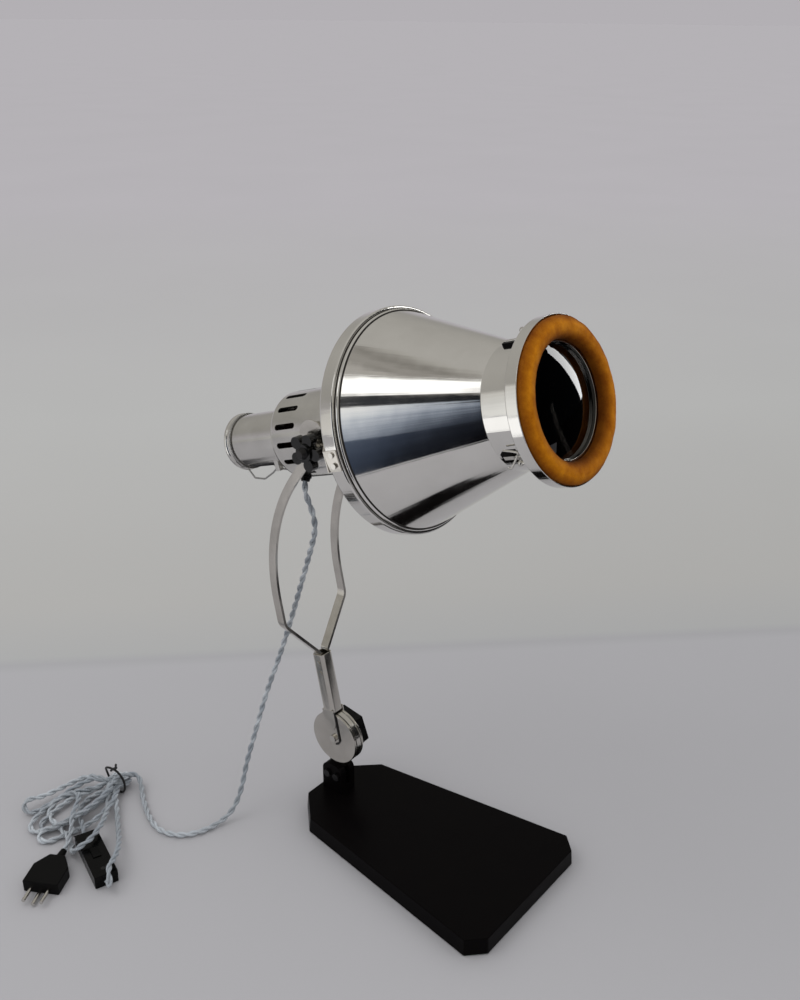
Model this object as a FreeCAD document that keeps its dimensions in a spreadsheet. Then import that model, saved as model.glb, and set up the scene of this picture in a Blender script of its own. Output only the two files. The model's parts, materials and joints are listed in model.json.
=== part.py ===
import FreeCAD, Part
import math
import os
import re
import Sketcher
from FreeCAD import Vector

# Tabletop heat lamp with a searchlight-shaped head.
# Millimetres and degrees. X runs from the back of the base to its front, Z is up, and the
# origin is the centre of the base's underside. The head and the stem have frames of their own:
# in the head's frame X is the optical axis, in the stem's frame Z runs up the stem.

SIZES = {
    # base: an iron casting on a felt sheet
    "base_length": 283.0,
    "base_height": 19.6,
    "base_rear_width": 125.0,
    "base_front_width": 191.7,
    "rear_corner_length": 32.3,
    "rear_corner_width": 31.0,
    "front_corner_length": 16.9,
    "front_corner_width": 17.4,
    "base_draft": 4.4,
    "felt_thickness": 1.0,
    "felt_inset": 2.0,
    # lug that stands on the base and holds the fixed friction disc
    "lug_length": 28.0,
    "lug_width": 22.0,
    "lug_top": 55.0,
    "lug_round": 9.0,
    "lug_setback": 0.4,
    "tongue_foot": 30.0,
    "tongue_foot_width": 13.0,
    "tongue_head_width": 25.0,
    "tongue_head_drop": 24.8,
    "lug_bolt_radius": 2.5,
    "lug_bolt_height": 42.0,
    "lug_bolt_spacing": 13.0,
    "lug_bolt_head": 2.6,
    "lug_bolt_head_radius": 4.25,
    # friction joint of the stem
    "joint_x": -120.7,
    "joint_height": 90.0,
    "disc_radius": 31.0,
    "fixed_disc_thickness": 6.0,
    "friction_thickness": 0.6,
    "friction_radius": 26.0,
    "moving_disc_thickness": 3.1,
    "gap": 0.3,
    "running_gap": 0.05,
    "bolt_radius": 3.0,
    "bolt_head_radius": 4.1,
    "bolt_head_height": 3.0,
    "bolt_washer_radius": 9.0,
    "bolt_washer_thickness": 1.2,
    "clamp_knob_radius": 27.0,
    "clamp_knob_thickness": 11.5,
    "clamp_knob_turn": 21.0,
    "clamp_hub_radius": 10.0,
    "clamp_hub_length": 2.0,
    "clamp_bush_radius": 6.0,
    # stem: a rectangular tube that leans back
    "stem_lean": 12.3,
    "stem_top": 102.3,
    "stem_width": 16.5,
    "stem_wall": 1.5,
    "cheek_end": 11.0,
    "hook_thickness": 1.2,
    "hook_width": 1.8,
    # fork: two flat bars
    "bar_width": 9.5,
    "bar_thickness": 3.2,
    "bar_foot": 70.0,
    "bar_spread_rise": 2.4,
    "bar_spread_end": 154.3,
    "foot_bend_radius": 4.0,
    "spread_bend_radius": 14.0,
    "arm_bend_radius": 185.0,
    "arm_slope": 35.4,
    "eye_radius": 8.0,
    "fork_rivet_radius": 1.6,
    "fork_rivet_head_radius": 2.72,
    "fork_rivet_head_height": 0.7,
    "fork_rivet_first": 80.0,
    "fork_rivet_spacing": 12.0,
    # tilt pivot of the head
    "pivot_x": -101.6,
    "pivot_height": 452.3,
    "head_pitch": 18.78,
    "pivot_setback": 75.8,
    "pivot_drop": 6.9,
    "stud_radius": 3.9,
    "stud_end": 0.8,
    "pivot_washer_radius": 8.0,
    "pivot_washer_thickness": 1.2,
    "nut_radius": 7.5,
    "nut_thickness": 5.5,
    "wing_hub_radius": 9.0,
    "wing_hub_length": 12.0,
    "lobe_radius": 6.0,
    "lobe_reach": 13.0,
    "lobe_thickness": 8.0,
    "wing_lift": 2.0,
    "lobe_count": 5.0,
    "lobe_turn": -16.0,
    "wing_cap_radius": 6.0,
    "wing_cap_height": 5.0,
    # side brackets that carry the head
    "bracket_thickness": 1.5,
    "bracket_half_width": 16.0,
    "bracket_rise": 28.0,
    "bracket_foot": 10.0,
    "bracket_tab": 13.0,
    "strap_rise": 9.0,
    "rivet_radius": 1.5,
    "rivet_head_radius": 2.6,
    "rivet_head_height": 1.4,
    "rivet_spread": 5.6,
    "rivet_drop": 4.0,
    # shells of the head, along the optical axis from the hood's back edge
    "sheet_metal": 1.2,
    "neck_radius": 43.5,
    "neck_back": -139.0,
    "neck_front": -28.8,
    "neck_edge_round": 5.0,
    "neck_hole_radius": 24.0,
    "slot_start": -129.5,
    "slot_length": 28.0,
    "slot_width": 5.7,
    "slot_count": 15.0,
    "slot_turn": 1.0,
    "dome_edge_radius": 100.2,
    "dome_curve_radius": 74.0,
    "band_radius": 105.0,
    "band_wall": 1.5,
    "band_length": 14.0,
    "cone_bead_radius": 101.8,
    "cone_bead_width": 3.4,
    "cone_back_radius": 99.6,
    "cone_start": 18.0,
    "cone_end": 134.0,
    "cone_front_radius": 54.6,
    "collar_radius": 55.0,
    "collar_end": 169.0,
    "lip_start": 163.0,
    "lip_radius": 60.0,
    # rear cap with its lid and spring wire
    "cap_radius": 28.0,
    "cap_back": -225.5,
    "lid_back": -227.5,
    "lid_length": 10.0,
    "lid_rim_radius": 30.2,
    "cap_collar_radius": 30.5,
    "cap_collar_length": 9.0,
    "cap_collar_flange": 33.5,
    "wire_radius": 0.9,
    "loop_end": 58.0,
    "ear_forward": -162.0,
    "ear_length": 6.0,
    "ear_offset": 17.0,
    "ear_width": 6.0,
    "ear_drop": 31.0,
    # lamp holder and bulb
    "holder_radius": 19.0,
    "holder_back": -165.0,
    "holder_front": -100.0,
    "holder_flange_radius": 28.0,
    "holder_flange_thickness": 4.0,
    "holder_floor": -128.0,
    "holder_bore": 13.6,
    "bulb_cap_radius": 13.3,
    "bulb_radius": 30.0,
    "bulb_centre": -48.0,
    "bulb_neck_radius": 17.0,
    "terminal_length": 18.0,
    "terminal_width": 26.0,
    "terminal_height": 16.0,
    # cord outlet in the neck
    "gland_station": -125.0,
    "gland_angle": -61.0,
    "gland_stem_radius": 4.4,
    "gland_flange_radius": 6.0,
    "gland_flange_thickness": 2.0,
    "gland_nose_radius": 4.2,
    "gland_nose_length": 3.5,
    # front holder with its pad and lens
    "ring_start": 169.3,
    "ring_end": 181.0,
    "ring_radius": 71.0,
    "ring_wall": 1.5,
    "ring_opening": 48.0,
    "spigot_start": 150.0,
    "spigot_play": 0.5,
    "lens_radius": 52.0,
    "lens_thickness": 3.2,
    "retainer_depth": 3.2,
    "retainer_width": 3.6,
    "pad_end": 188.6,
    "pad_inner_radius": 49.8,
    # spring clips that hold the front holder
    "clip_width": 8.0,
    "clip_start": 140.0,
    "clip_end": 152.0,
    "clip_height": 3.0,
    "spring_thickness": 0.8,
    "spring_width": 4.0,
    "spring_end": 168.0,
    "clip_pin_radius": 1.3,
    "clip_ball_radius": 2.6,
    "clip_pin_circle": 65.2,
    "clip_pin_length": 8.0,
    # cord, hank, switch and plug
    "cord_diameter": 6.2,
    "head_cord_reach": 205.0,
    "stem_cord_reach": 112.0,
    "hank_height": 13.0,
    "waist_height": 24.0,
    "tie_width": 4.5,
    "tie_thickness": 1.4,
    "tie_tail": 16.0,
    "tie_reach": 13.6,
    "switch_x": -250.5,
    "switch_y": -241.1,
    "switch_turn": -20.0,
    "switch_length": 73.0,
    "switch_width": 24.5,
    "switch_height": 15.0,
    "switch_split": 7.5,
    "switch_cavity": 2.0,
    "rocker_length": 15.0,
    "rocker_width": 8.5,
    "rocker_stand": 1.8,
    "rocker_angle": 7.0,
    "rocker_pin_radius": 1.0,
    "switch_screw_radius": 2.4,
    "switch_screw_inset": 10.0,
    "plug_x": -259.3,
    "plug_y": -303.6,
    "plug_turn": 120.0,
    "plug_width": 38.5,
    "plug_shoulder": 26.0,
    "plug_length": 42.0,
    "plug_neck_width": 17.0,
    "plug_height": 14.0,
    "plug_pin_radius": 2.0,
    "plug_pin_length": 19.0,
    "plug_pin_spacing": 9.5,
    "plug_earth_drop": 3.5,
    "relief_length": 13.0,
    "relief_radius": 4.6,
    "relief_tip_radius": 3.4,
}

# Turns of the three spring clips about the optical axis, from the near side upwards.
CLIP_ANGLES = (-33.0, 79.0, 203.0)


# Directions of the cord's free run, from the gland down to the tie of the hank.
CORD_ROUTE = (
    (-123.8, -30.6, 381.0),
    (-119.8, -29.6, 367.0),
    (-121.2, -28.2, 352.0),
    (-127.0, -27.1, 335.6),
    (-134.6, -26.3, 314.5),
    (-146.0, -26.5, 281.0),
    (-158.5, -28.5, 240.0),
    (-172.0, -34.0, 193.0),
    (-185.5, -45.0, 143.0),
    (-190.0, -60.0, 98.0),
    (-192.5, -74.0, 62.0),
    (-189.5, -87.0, 32.0),
    (-190.5, -101.0, 11.0),
    (-194.5, -120.0, 3.1),
    (-200.5, -144.0, 3.1),
    (-214.5, -161.0, 3.1),
    (-237.0, -168.5, 3.1),
    (-262.0, -161.5, 3.1),
    (-291.0, -146.5, 3.1),
    (-311.0, -132.5, 6.5),
    (-321.0, -128.5, 12.0),
    (-327.5, -136.0, 15.5),
    (-330.0, -150.0, 15.0),
)

# Last strand of the hank, over the near edge of the hank to the switch's lower end.
SWITCH_STRAND = (
    (-318.0, -163.5, 12.0),
    (-300.5, -176.0, 9.5),
    (-281.5, -189.2, 6.5),
    (-260.5, -203.8, 9.0),
    (-239.0, -219.0, 15.5),
    (-224.0, -235.5, 20.2),
    (-216.5, -248.5, 22.0),
    (-206.8, -257.0, 21.4),
    (-203.0, -258.4, 14.4),
)

# Strand that leaves the hank, lies over the switch and goes back into the hank.
OVER_STRAND = (
    (-316.0, -176.0, 10.0),
    (-300.0, -187.5, 14.0),
    (-283.5, -203.5, 19.0),
    (-271.5, -220.5, 21.5),
    (-264.5, -235.5, 22.0),
    (-265.0, -246.5, 20.5),
    (-271.0, -254.0, 14.5),
    (-278.5, -251.5, 7.8),
    (-286.8, -245.2, 3.8),
    (-297.0, -240.5, 3.1),
    (-310.0, -238.0, 3.3),
    (-326.0, -234.5, 5.0),
)

# Short strand from the switch's upper end into the hank.
BACK_STRAND = (
    (-305.0, -218.5, 7.0),
    (-321.0, -212.0, 6.0),
)

# Plug's strand, from its strain relief into the hank.
PLUG_STRAND = (
    (-293.8, -243.8, 10.8),
    (-300.0, -235.0, 14.7),
    (-311.5, -227.5, 14.5),
    (-327.0, -221.5, 12.0),
)

# Outline of the hank as it lies: along it from the tie, and across it.
HANK_OUTLINE = (
    (-16.0, -6.0),
    (-12.0, -11.5),
    (4.0, -13.0),
    (30.0, -19.0),
    (68.0, -28.0),
    (92.0, -35.0),
    (100.0, -31.0),
    (106.0, -12.0),
    (110.0, 8.0),
    (108.0, 26.0),
    (98.0, 35.0),
    (82.0, 43.0),
    (60.0, 48.0),
    (42.0, 40.0),
    (22.0, 25.0),
    (4.0, 13.0),
    (-12.0, 11.5),
    (-16.0, 6.0),
)
HANK_TIE = (-333.0, -152.0)
HANK_TURN = -101.0
WAIST_END = 13.0

doc = FreeCAD.newDocument("heat_lamp")
sheet = doc.addObject("Spreadsheet::Sheet", "Sizes")
for row, (alias, number) in enumerate(SIZES.items(), start=1):
    sheet.set("A%d" % row, alias)
    sheet.set("B%d" % row, str(number))
    sheet.setAlias("B%d" % row, alias)
doc.recompute()

WORD = re.compile(r"[a-z_]+")
ACROSS = {"x": "rotation(vector(0; 1; 0); 90)",
          "y": "rotation(vector(1; 0; 0); -90)",
          "z": "rotation(vector(0; 0; 1); 0)"}
TURN_AXES = {"x": "vector(1; 0; 0)", "y": "vector(0; 1; 0)", "z": "vector(0; 0; 1)"}
nodes = {}


def formula(text):
    """The text with each size named as the spreadsheet's own cell."""
    return WORD.sub(lambda found: "Sizes." + found.group(0) if found.group(0) in SIZES
                    else found.group(0), str(text))


def value(text):
    """What a formula comes to now."""
    return float(sheet.evalExpression(formula(text)))


def at(place, turn=None):
    """A placement's formula: a point, and a turn about one axis."""
    x, y, z = (formula(part) for part in place)
    axis, angle = turn if turn else ("z", "0")
    return "placement(vector(%s; %s; %s); rotation(%s; %s))" % (
        x, y, z, TURN_AXES[axis], formula(angle))


def frame(name, *steps):
    """A named frame that pieces are placed in."""
    made = doc.addObject("App::Placement", name)
    made.setExpression("Placement", " * ".join(steps))
    return made.Name + ".Placement"


def put(piece, within, *steps):
    """Place a piece in a frame, by formula."""
    piece.setExpression("Placement", " * ".join([within] + list(steps)))


def keep(label, piece):
    """Make this piece the part's node of that name."""
    piece.Label = label
    nodes[label] = piece
    return piece


def outline_sketch(body, name, role, outline):
    """A closed outline on one of the body's planes, each corner tied to the sizes.

    A corner is (across, up), or (across, up, radius, side) where an arc leads from it to the
    next corner with its centre on the left (1) or on the right (-1) of that way.
    """
    sketch = body.newObject("Sketcher::SketchObject", name)
    base_plane = [item for item in body.Origin.OriginFeatures if item.Role == role][0]
    sketch.AttachmentSupport = [(base_plane, "")]
    sketch.MapMode = "FlatFace"
    points = [Vector(value(corner[0]), value(corner[1]), 0) for corner in outline]
    ends = []
    for index, corner in enumerate(outline):
        start, stop = points[index], points[(index + 1) % len(points)]
        if len(corner) == 2:
            sketch.addGeometry(Part.LineSegment(start, stop))
            ends.append((1, 2))
            continue
        radius, side = value(corner[2]), corner[3]
        chord = stop - start
        square = Vector(-chord.y, chord.x, 0).normalize()
        rise = math.sqrt(max(radius ** 2 - chord.Length ** 2 / 4, 0))
        centre = (start + stop) * 0.5 + square * (rise * side)
        way = (start - centre) + (stop - centre)
        if way.Length < 1e-6:
            way = square * -side
        middle = centre + way.normalize() * radius
        sketch.addGeometry(Part.Arc(start, middle, stop))
        ends.append((1, 2) if side > 0 else (2, 1))
    for index in range(len(outline)):
        following = (index + 1) % len(outline)
        sketch.addConstraint(Sketcher.Constraint(
            "Coincident", index, ends[index][1], following, ends[following][0]))
    for index, corner in enumerate(outline):
        for kind, text in (("DistanceX", corner[0]), ("DistanceY", corner[1])):
            number = sketch.addConstraint(Sketcher.Constraint(
                kind, -1, 1, index, ends[index][0], value(text)))
            sketch.setExpression("Constraints[%d]" % number, formula(text))
        if len(corner) > 2:
            number = sketch.addConstraint(Sketcher.Constraint("Radius", index, value(corner[2])))
            sketch.setExpression("Constraints[%d]" % number, formula(corner[2]))
    return sketch


def turned(name, within, outline, *steps):
    """A body turned about its frame's X axis from its outline of (along, radius)."""
    body = doc.addObject("PartDesign::Body", name)
    sketch = outline_sketch(body, name + "_profile", "XZ_Plane", outline)
    spin = body.newObject("PartDesign::Revolution", name + "_turned")
    spin.Profile = sketch
    spin.ReferenceAxis = (sketch, ["H_Axis"])
    spin.Angle = 360
    put(body, within, *steps)
    return body


def slab(name, within, plane, outline, thickness, *steps, middle=False, taper=None):
    """A plate cut to an outline. Off the XZ plane it grows towards -Y."""
    body = doc.addObject("PartDesign::Body", name)
    sketch = outline_sketch(body, name + "_outline", plane, outline)
    pad = body.newObject("PartDesign::Pad", name + "_plate")
    pad.Profile = sketch
    pad.setExpression("Length", formula(thickness))
    pad.Midplane = middle
    if taper:
        pad.setExpression("TaperAngle", formula(taper))
    put(body, within, *steps)
    return body


def block(name, within, low, high, *steps):
    """A box between two corners."""
    box = doc.addObject("Part::Box", name)
    for side, start, stop in zip(("Length", "Width", "Height"), low, high):
        box.setExpression(side, "(%s) - (%s)" % (formula(stop), formula(start)))
    put(box, within, *(list(steps) + [at(low)]))
    return box


def rod(name, within, axis, start, length, radius, *steps):
    """A round bar from a point along X, Y or Z."""
    bar = doc.addObject("Part::Cylinder", name)
    bar.setExpression("Radius", formula(radius))
    bar.setExpression("Height", formula(length))
    x, y, z = (formula(part) for part in start)
    place = "placement(vector(%s; %s; %s); %s)" % (x, y, z, ACROSS[axis])
    put(bar, within, *(list(steps) + [place]))
    return bar


def taper_rod(name, within, axis, start, length, radius, tip_radius, *steps):
    """A cone's frustum from a point along X, Y or Z."""
    cone = doc.addObject("Part::Cone", name)
    cone.setExpression("Radius1", formula(radius))
    cone.setExpression("Radius2", formula(tip_radius))
    cone.setExpression("Height", formula(length))
    x, y, z = (formula(part) for part in start)
    place = "placement(vector(%s; %s; %s); %s)" % (x, y, z, ACROSS[axis])
    put(cone, within, *(list(steps) + [place]))
    return cone


def cut(name, base, *tools):
    """The base without its tools."""
    for index, tool in enumerate(tools):
        step = doc.addObject("Part::Cut", "%s_cut_%d" % (name, index + 1))
        step.Base = base
        step.Tool = tool
        base = step
    return base


def join(name, *pieces):
    """Pieces welded into one, or a group of like pieces."""
    whole = doc.addObject("Part::MultiFuse", name + "_joined")
    whole.Shapes = list(pieces)
    return whole


def group(name, pieces):
    """Like pieces that share a node and stay separate solids."""
    whole = doc.addObject("Part::Compound", name + "_group")
    whole.Links = list(pieces)
    return whole


def overlap(name, first, second):
    """What two shapes share."""
    both = doc.addObject("Part::MultiCommon", name + "_shared")
    both.Shapes = [first, second]
    return both


def fixed_shape(name, shape):
    """A shape worked out here from the sheet's numbers."""
    held = doc.addObject("Part::Feature", name)
    held.Shape = shape
    return held


ROW = frame("row_frame", at(("0", "0", "0")))
JOINT = frame("joint_frame", at(("joint_x", "0", "joint_height")))
STEM = frame("stem_frame", at(("joint_x", "0", "joint_height"), ("y", "-stem_lean")))
PIVOT = frame("pivot_frame", at(("pivot_x", "0", "pivot_height"), ("y", "-head_pitch")))
HEAD = frame("head_frame", PIVOT, at(("pivot_setback", "0", "pivot_drop")))
SWITCH = frame("switch_frame", at(("switch_x", "switch_y", "0"), ("z", "switch_turn")))
PLUG = frame("plug_frame", at(("plug_x", "plug_y", "0"), ("z", "plug_turn")))
doc.recompute()


def about_axis(angle):
    """Turn the head's frame so that its Z points out at this angle from the near side up."""
    return at(("0", "0", "0"), ("x", "90 - (%s)" % angle))


# ---------------------------------------------------------------- base
REAR = "-base_length / 2"
FRONT = "base_length / 2"


def base_outline(inset):
    """The base's plan: a wedge with four cut corners."""
    half_widths = ("base_rear_width / 2 - rear_corner_width",
                   "base_rear_width / 2 - (%s)" % inset,
                   "base_front_width / 2 - (%s)" % inset,
                   "base_front_width / 2 - front_corner_width")
    stations = (REAR + " + (%s)" % inset, REAR + " + rear_corner_length",
                FRONT + " - front_corner_length", FRONT + " - (%s)" % inset)
    near = [(station, "-(%s)" % across) for station, across in zip(stations, half_widths)]
    far = [(station, across) for station, across in zip(stations, half_widths)]
    return near + far[::-1]


keep("base_felt", slab("base_felt", ROW, "XY_Plane", base_outline("felt_inset"), "felt_thickness"))
keep("base_plate", slab("base_plate", ROW, "XY_Plane", base_outline("0"),
                        "base_height - felt_thickness", at(("0", "0", "felt_thickness")),
                        taper="-base_draft"))

LUG_REAR = "-lug_length / 2 - lug_setback"
LUG_FRONT = "lug_length / 2 - lug_setback"
LUG_TOP = "lug_top - joint_height"
LUG_FOOT = "base_height - joint_height"
lug_blank = slab("lug_blank", JOINT, "XZ_Plane", [
    (LUG_REAR, LUG_FOOT),
    (LUG_FRONT, LUG_FOOT),
    (LUG_FRONT, LUG_TOP + " - lug_round", "lug_round", 1),
    (LUG_FRONT + " - lug_round", LUG_TOP),
    (LUG_REAR + " + lug_round", LUG_TOP, "lug_round", 1),
    (LUG_REAR, LUG_TOP + " - lug_round"),
], "lug_width", middle=True)
lug_slot = block("lug_slot", JOINT,
                 ("-lug_length", "-fixed_disc_thickness / 2", "tongue_foot - joint_height"),
                 ("lug_length", "fixed_disc_thickness / 2", "0"))
BOLT_STATIONS = ("-lug_bolt_spacing / 2", "lug_bolt_spacing / 2")


def lug_bolt_hole(name, station):
    """A cross hole through the lug and the tongue."""
    return rod(name, JOINT, "y", (station, "-lug_width", "lug_bolt_height - joint_height"),
               "2 * lug_width", "lug_bolt_radius")


keep("base_lug", cut("base_lug", lug_blank, lug_slot,
                     *[lug_bolt_hole("lug_hole_%d" % number, station)
                       for number, station in enumerate(BOLT_STATIONS)]))

tongue = slab("tongue", JOINT, "XZ_Plane", [
    ("-tongue_foot_width / 2", "tongue_foot - joint_height"),
    ("tongue_foot_width / 2", "tongue_foot - joint_height"),
    ("tongue_head_width / 2", "-tongue_head_drop"),
    ("-tongue_head_width / 2", "-tongue_head_drop"),
], "fixed_disc_thickness", middle=True)
fixed_disc_blank = rod("fixed_disc_blank", JOINT, "y", ("0", "-fixed_disc_thickness / 2", "0"),
                       "fixed_disc_thickness", "disc_radius")
fixed_disc_bore = rod("fixed_disc_bore", JOINT, "y", ("0", "-disc_radius", "0"),
                      "2 * disc_radius", "bolt_radius + running_gap")
keep("fixed_disc", cut("fixed_disc", join("fixed_disc", tongue, fixed_disc_blank), fixed_disc_bore,
                       *[lug_bolt_hole("tongue_hole_%d" % number, station)
                         for number, station in enumerate(BOLT_STATIONS)]))

lug_bolts = []
for number, station in enumerate(BOLT_STATIONS):
    height = "lug_bolt_height - joint_height"
    shank = rod("lug_bolt_shank_%d" % number, JOINT, "y", (station, "-lug_width / 2", height),
                "lug_width", "lug_bolt_radius")
    head = rod("lug_bolt_head_%d" % number, JOINT, "y",
               (station, "-lug_width / 2 - lug_bolt_head", height),
               "lug_bolt_head", "lug_bolt_head_radius")
    nut = rod("lug_bolt_nut_%d" % number, JOINT, "y", (station, "lug_width / 2", height),
              "lug_bolt_head", "lug_bolt_head_radius")
    lug_bolts.append(join("lug_bolt_%d" % number, shank, head, nut))
keep("lug_bolts", group("lug_bolts", lug_bolts))

friction_rings = []
for side, start in (("near", "-fixed_disc_thickness / 2 - friction_thickness"),
                    ("far", "fixed_disc_thickness / 2")):
    ring_blank = rod("friction_%s" % side, JOINT, "y", ("0", start, "0"),
                     "friction_thickness", "friction_radius")
    ring_bore = rod("friction_bore_%s" % side, JOINT, "y", ("0", "-disc_radius", "0"),
                    "2 * disc_radius", "bolt_radius + running_gap")
    friction_rings.append(cut("friction_%s" % side, ring_blank, ring_bore))
keep("friction_rings", group("friction_rings", friction_rings))

# ---------------------------------------------------------------- stem and its friction joint
DISC_INNER = "(fixed_disc_thickness / 2 + friction_thickness + gap)"
DISC_OUTER = "(fixed_disc_thickness / 2 + friction_thickness + gap + moving_disc_thickness)"
CHEEK_OUTER = "(fixed_disc_thickness / 2 + friction_thickness + gap + moving_disc_thickness + stem_wall)"

for side, start in (("near", "-" + DISC_OUTER), ("far", DISC_INNER)):
    disc_blank = rod("%s_disc_blank" % side, STEM, "y", ("0", start, "0"),
                     "moving_disc_thickness", "disc_radius")
    disc_bore = rod("%s_disc_bore" % side, STEM, "y", ("0", start + " - 1", "0"),
                    "moving_disc_thickness + 2", "bolt_radius")
    keep("%s_disc" % side, cut("%s_disc" % side, disc_blank, disc_bore))

tube_outer = block("stem_outer", STEM,
                   ("-stem_width / 2", "-" + CHEEK_OUTER, "disc_radius + 3 * gap"),
                   ("stem_width / 2", CHEEK_OUTER, "stem_top"))
tube_inner = block("stem_inner", STEM,
                   ("stem_wall - stem_width / 2", "-" + DISC_OUTER, "disc_radius"),
                   ("stem_width / 2 - stem_wall", DISC_OUTER, "stem_top + 1"))
stem_parts = [cut("stem_tube", tube_outer, tube_inner)]
for side, start in (("near", "-" + CHEEK_OUTER), ("far", DISC_OUTER)):
    stem_parts.append(slab("stem_cheek_%s" % side, STEM, "XZ_Plane", [
        ("stem_width / 2", "cheek_end + stem_width / 2"),
        ("stem_width / 2", "disc_radius + 6 * gap"),
        ("-stem_width / 2", "disc_radius + 6 * gap"),
        ("-stem_width / 2", "cheek_end + stem_width / 2", "stem_width / 2", 1),
        ("0", "cheek_end", "stem_width / 2", 1),
    ], "stem_wall", at(("0", start + " + stem_wall", "0"))))
RIVET_STATIONS = ("fork_rivet_first", "fork_rivet_first + fork_rivet_spacing")


def fork_rivet_hole(name, station):
    """A cross hole through the stem and both bars."""
    return rod(name, STEM, "y", ("0", "-stem_width", station), "2 * stem_width", "fork_rivet_radius")


keep("stem_tube", cut("stem_bored", join("stem", *stem_parts),
                      *[fork_rivet_hole("stem_hole_%d" % number, station)
                        for number, station in enumerate(RIVET_STATIONS)]))

fork_rivets = []
for number, station in enumerate(RIVET_STATIONS):
    shank = rod("fork_rivet_shank_%d" % number, STEM, "y", ("0", "-" + CHEEK_OUTER, station),
                "2 * " + CHEEK_OUTER, "fork_rivet_radius")
    heads = [rod("fork_rivet_head_%d_%s" % (number, side), STEM, "y", ("0", start, station),
                 "fork_rivet_head_height", "fork_rivet_head_radius")
             for side, start in (("near", "-" + CHEEK_OUTER + " - fork_rivet_head_height"),
                                 ("far", CHEEK_OUTER))]
    fork_rivets.append(join("fork_rivet_%d" % number, shank, *heads))
keep("fork_rivets", group("fork_rivets", fork_rivets))

# A thin hooked finger beside the near cheek, which steadies the bolt's head.
HOOK_INSIDE = "stem_width / 2"
HOOK_OUTSIDE = "stem_width / 2 + hook_width"
keep("stop_hook", slab("stop_hook", STEM, "XZ_Plane", [
    (HOOK_INSIDE, "disc_radius + 6 * gap"),
    (HOOK_INSIDE, "bolt_head_radius"),
    (HOOK_INSIDE, "-bolt_head_radius / 2"),
    ("bolt_head_radius + 1.2", "-bolt_head_radius - 0.8"),
    ("bolt_head_radius / 2", "-bolt_head_radius - 1.6"),
    ("bolt_head_radius / 2", "-bolt_head_radius - 3.4"),
    ("bolt_head_radius + 2.4", "-bolt_head_radius - 2.4"),
    (HOOK_OUTSIDE, "-bolt_head_radius / 2"),
    (HOOK_OUTSIDE, "bolt_head_radius"),
    (HOOK_OUTSIDE, "disc_radius + 6 * gap"),
], "hook_thickness", at(("0", "-" + DISC_OUTER, "0"))))

KNOB_START = "(%s + bolt_washer_thickness + gap)" % DISC_OUTER
KNOB_FACE = "(%s + bolt_washer_thickness + gap + clamp_hub_length)" % DISC_OUTER
bolt_shank = rod("bolt_shank", STEM, "y", ("0", "-" + DISC_OUTER, "0"),
                 "2 * %s + bolt_washer_thickness + gap + clamp_hub_length + clamp_knob_thickness - 2"
                 % DISC_OUTER, "bolt_radius")
bolt_head = rod("bolt_head", STEM, "y", ("0", "-%s - bolt_head_height" % DISC_OUTER, "0"),
                "bolt_head_height", "bolt_head_radius")
bolt_washer = rod("bolt_washer", STEM, "y", ("0", DISC_OUTER, "0"),
                  "bolt_washer_thickness", "bolt_washer_radius")
keep("joint_bolt", join("joint_bolt", bolt_shank, bolt_head, bolt_washer))

hexagon = [("clamp_knob_radius * cos(clamp_knob_turn + %d)" % turn,
            "clamp_knob_radius * sin(clamp_knob_turn + %d)" % turn)
           for turn in range(30, 390, 60)]
knob_plate = slab("clamp_plate", JOINT, "XZ_Plane", hexagon, "clamp_knob_thickness",
                  at(("0", KNOB_FACE + " + clamp_knob_thickness", "0")))
knob_hub = rod("clamp_hub", JOINT, "y", ("0", KNOB_START, "0"),
               "clamp_hub_length + 1", "clamp_hub_radius")
knob_bore = rod("clamp_bore", JOINT, "y", ("0", "0", "0"), "disc_radius", "clamp_bush_radius")
keep("clamp_knob", cut("clamp_knob", join("clamp_knob", knob_plate, knob_hub), knob_bore))
bush_blank = rod("clamp_bush_blank", JOINT, "y", ("0", KNOB_START, "0"),
                 "clamp_hub_length + clamp_knob_thickness", "clamp_bush_radius")
bush_bore = rod("clamp_bush_bore", JOINT, "y", ("0", "0", "0"), "2 * disc_radius",
                "bolt_radius + running_gap")
keep("clamp_bush", cut("clamp_bush", bush_blank, bush_bore))


# ---------------------------------------------------------------- fork
def rounded_wire(points, radii):
    """Straight runs joined by tangent arcs of the given radii, one for each inner point."""
    edges = []
    last = points[0]
    for index in range(1, len(points) - 1):
        corner = points[index]
        back = (points[index - 1] - corner).normalize()
        ahead = (points[index + 1] - corner).normalize()
        half_turn = (math.pi - back.getAngle(ahead)) / 2
        trim = radii[index - 1] * math.tan(half_turn)
        start = corner + back * trim
        stop = corner + ahead * trim
        inward = (back + ahead).normalize()
        middle = corner + inward * (radii[index - 1] / math.cos(half_turn) - radii[index - 1])
        edges.append(Part.LineSegment(last, start).toShape())
        edges.append(Part.Arc(start, middle, stop).toShape())
        last = stop
    edges.append(Part.LineSegment(last, points[-1]).toShape())
    return Part.Wire(edges)


def strip_face(points, radii, half_width):
    """A flat strip of even width along a rounded path."""
    square_start = strip_side(points, radii, half_width)
    square_stop = strip_side(points, radii, -half_width)
    first = square_start.OrderedVertexes
    second = square_stop.OrderedVertexes
    closing = [Part.LineSegment(first[0].Point, second[0].Point).toShape(),
               Part.LineSegment(first[-1].Point, second[-1].Point).toShape()]
    return Part.Face(Part.Wire(Part.__sortEdges__(square_start.Edges + square_stop.Edges + closing)))


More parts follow.
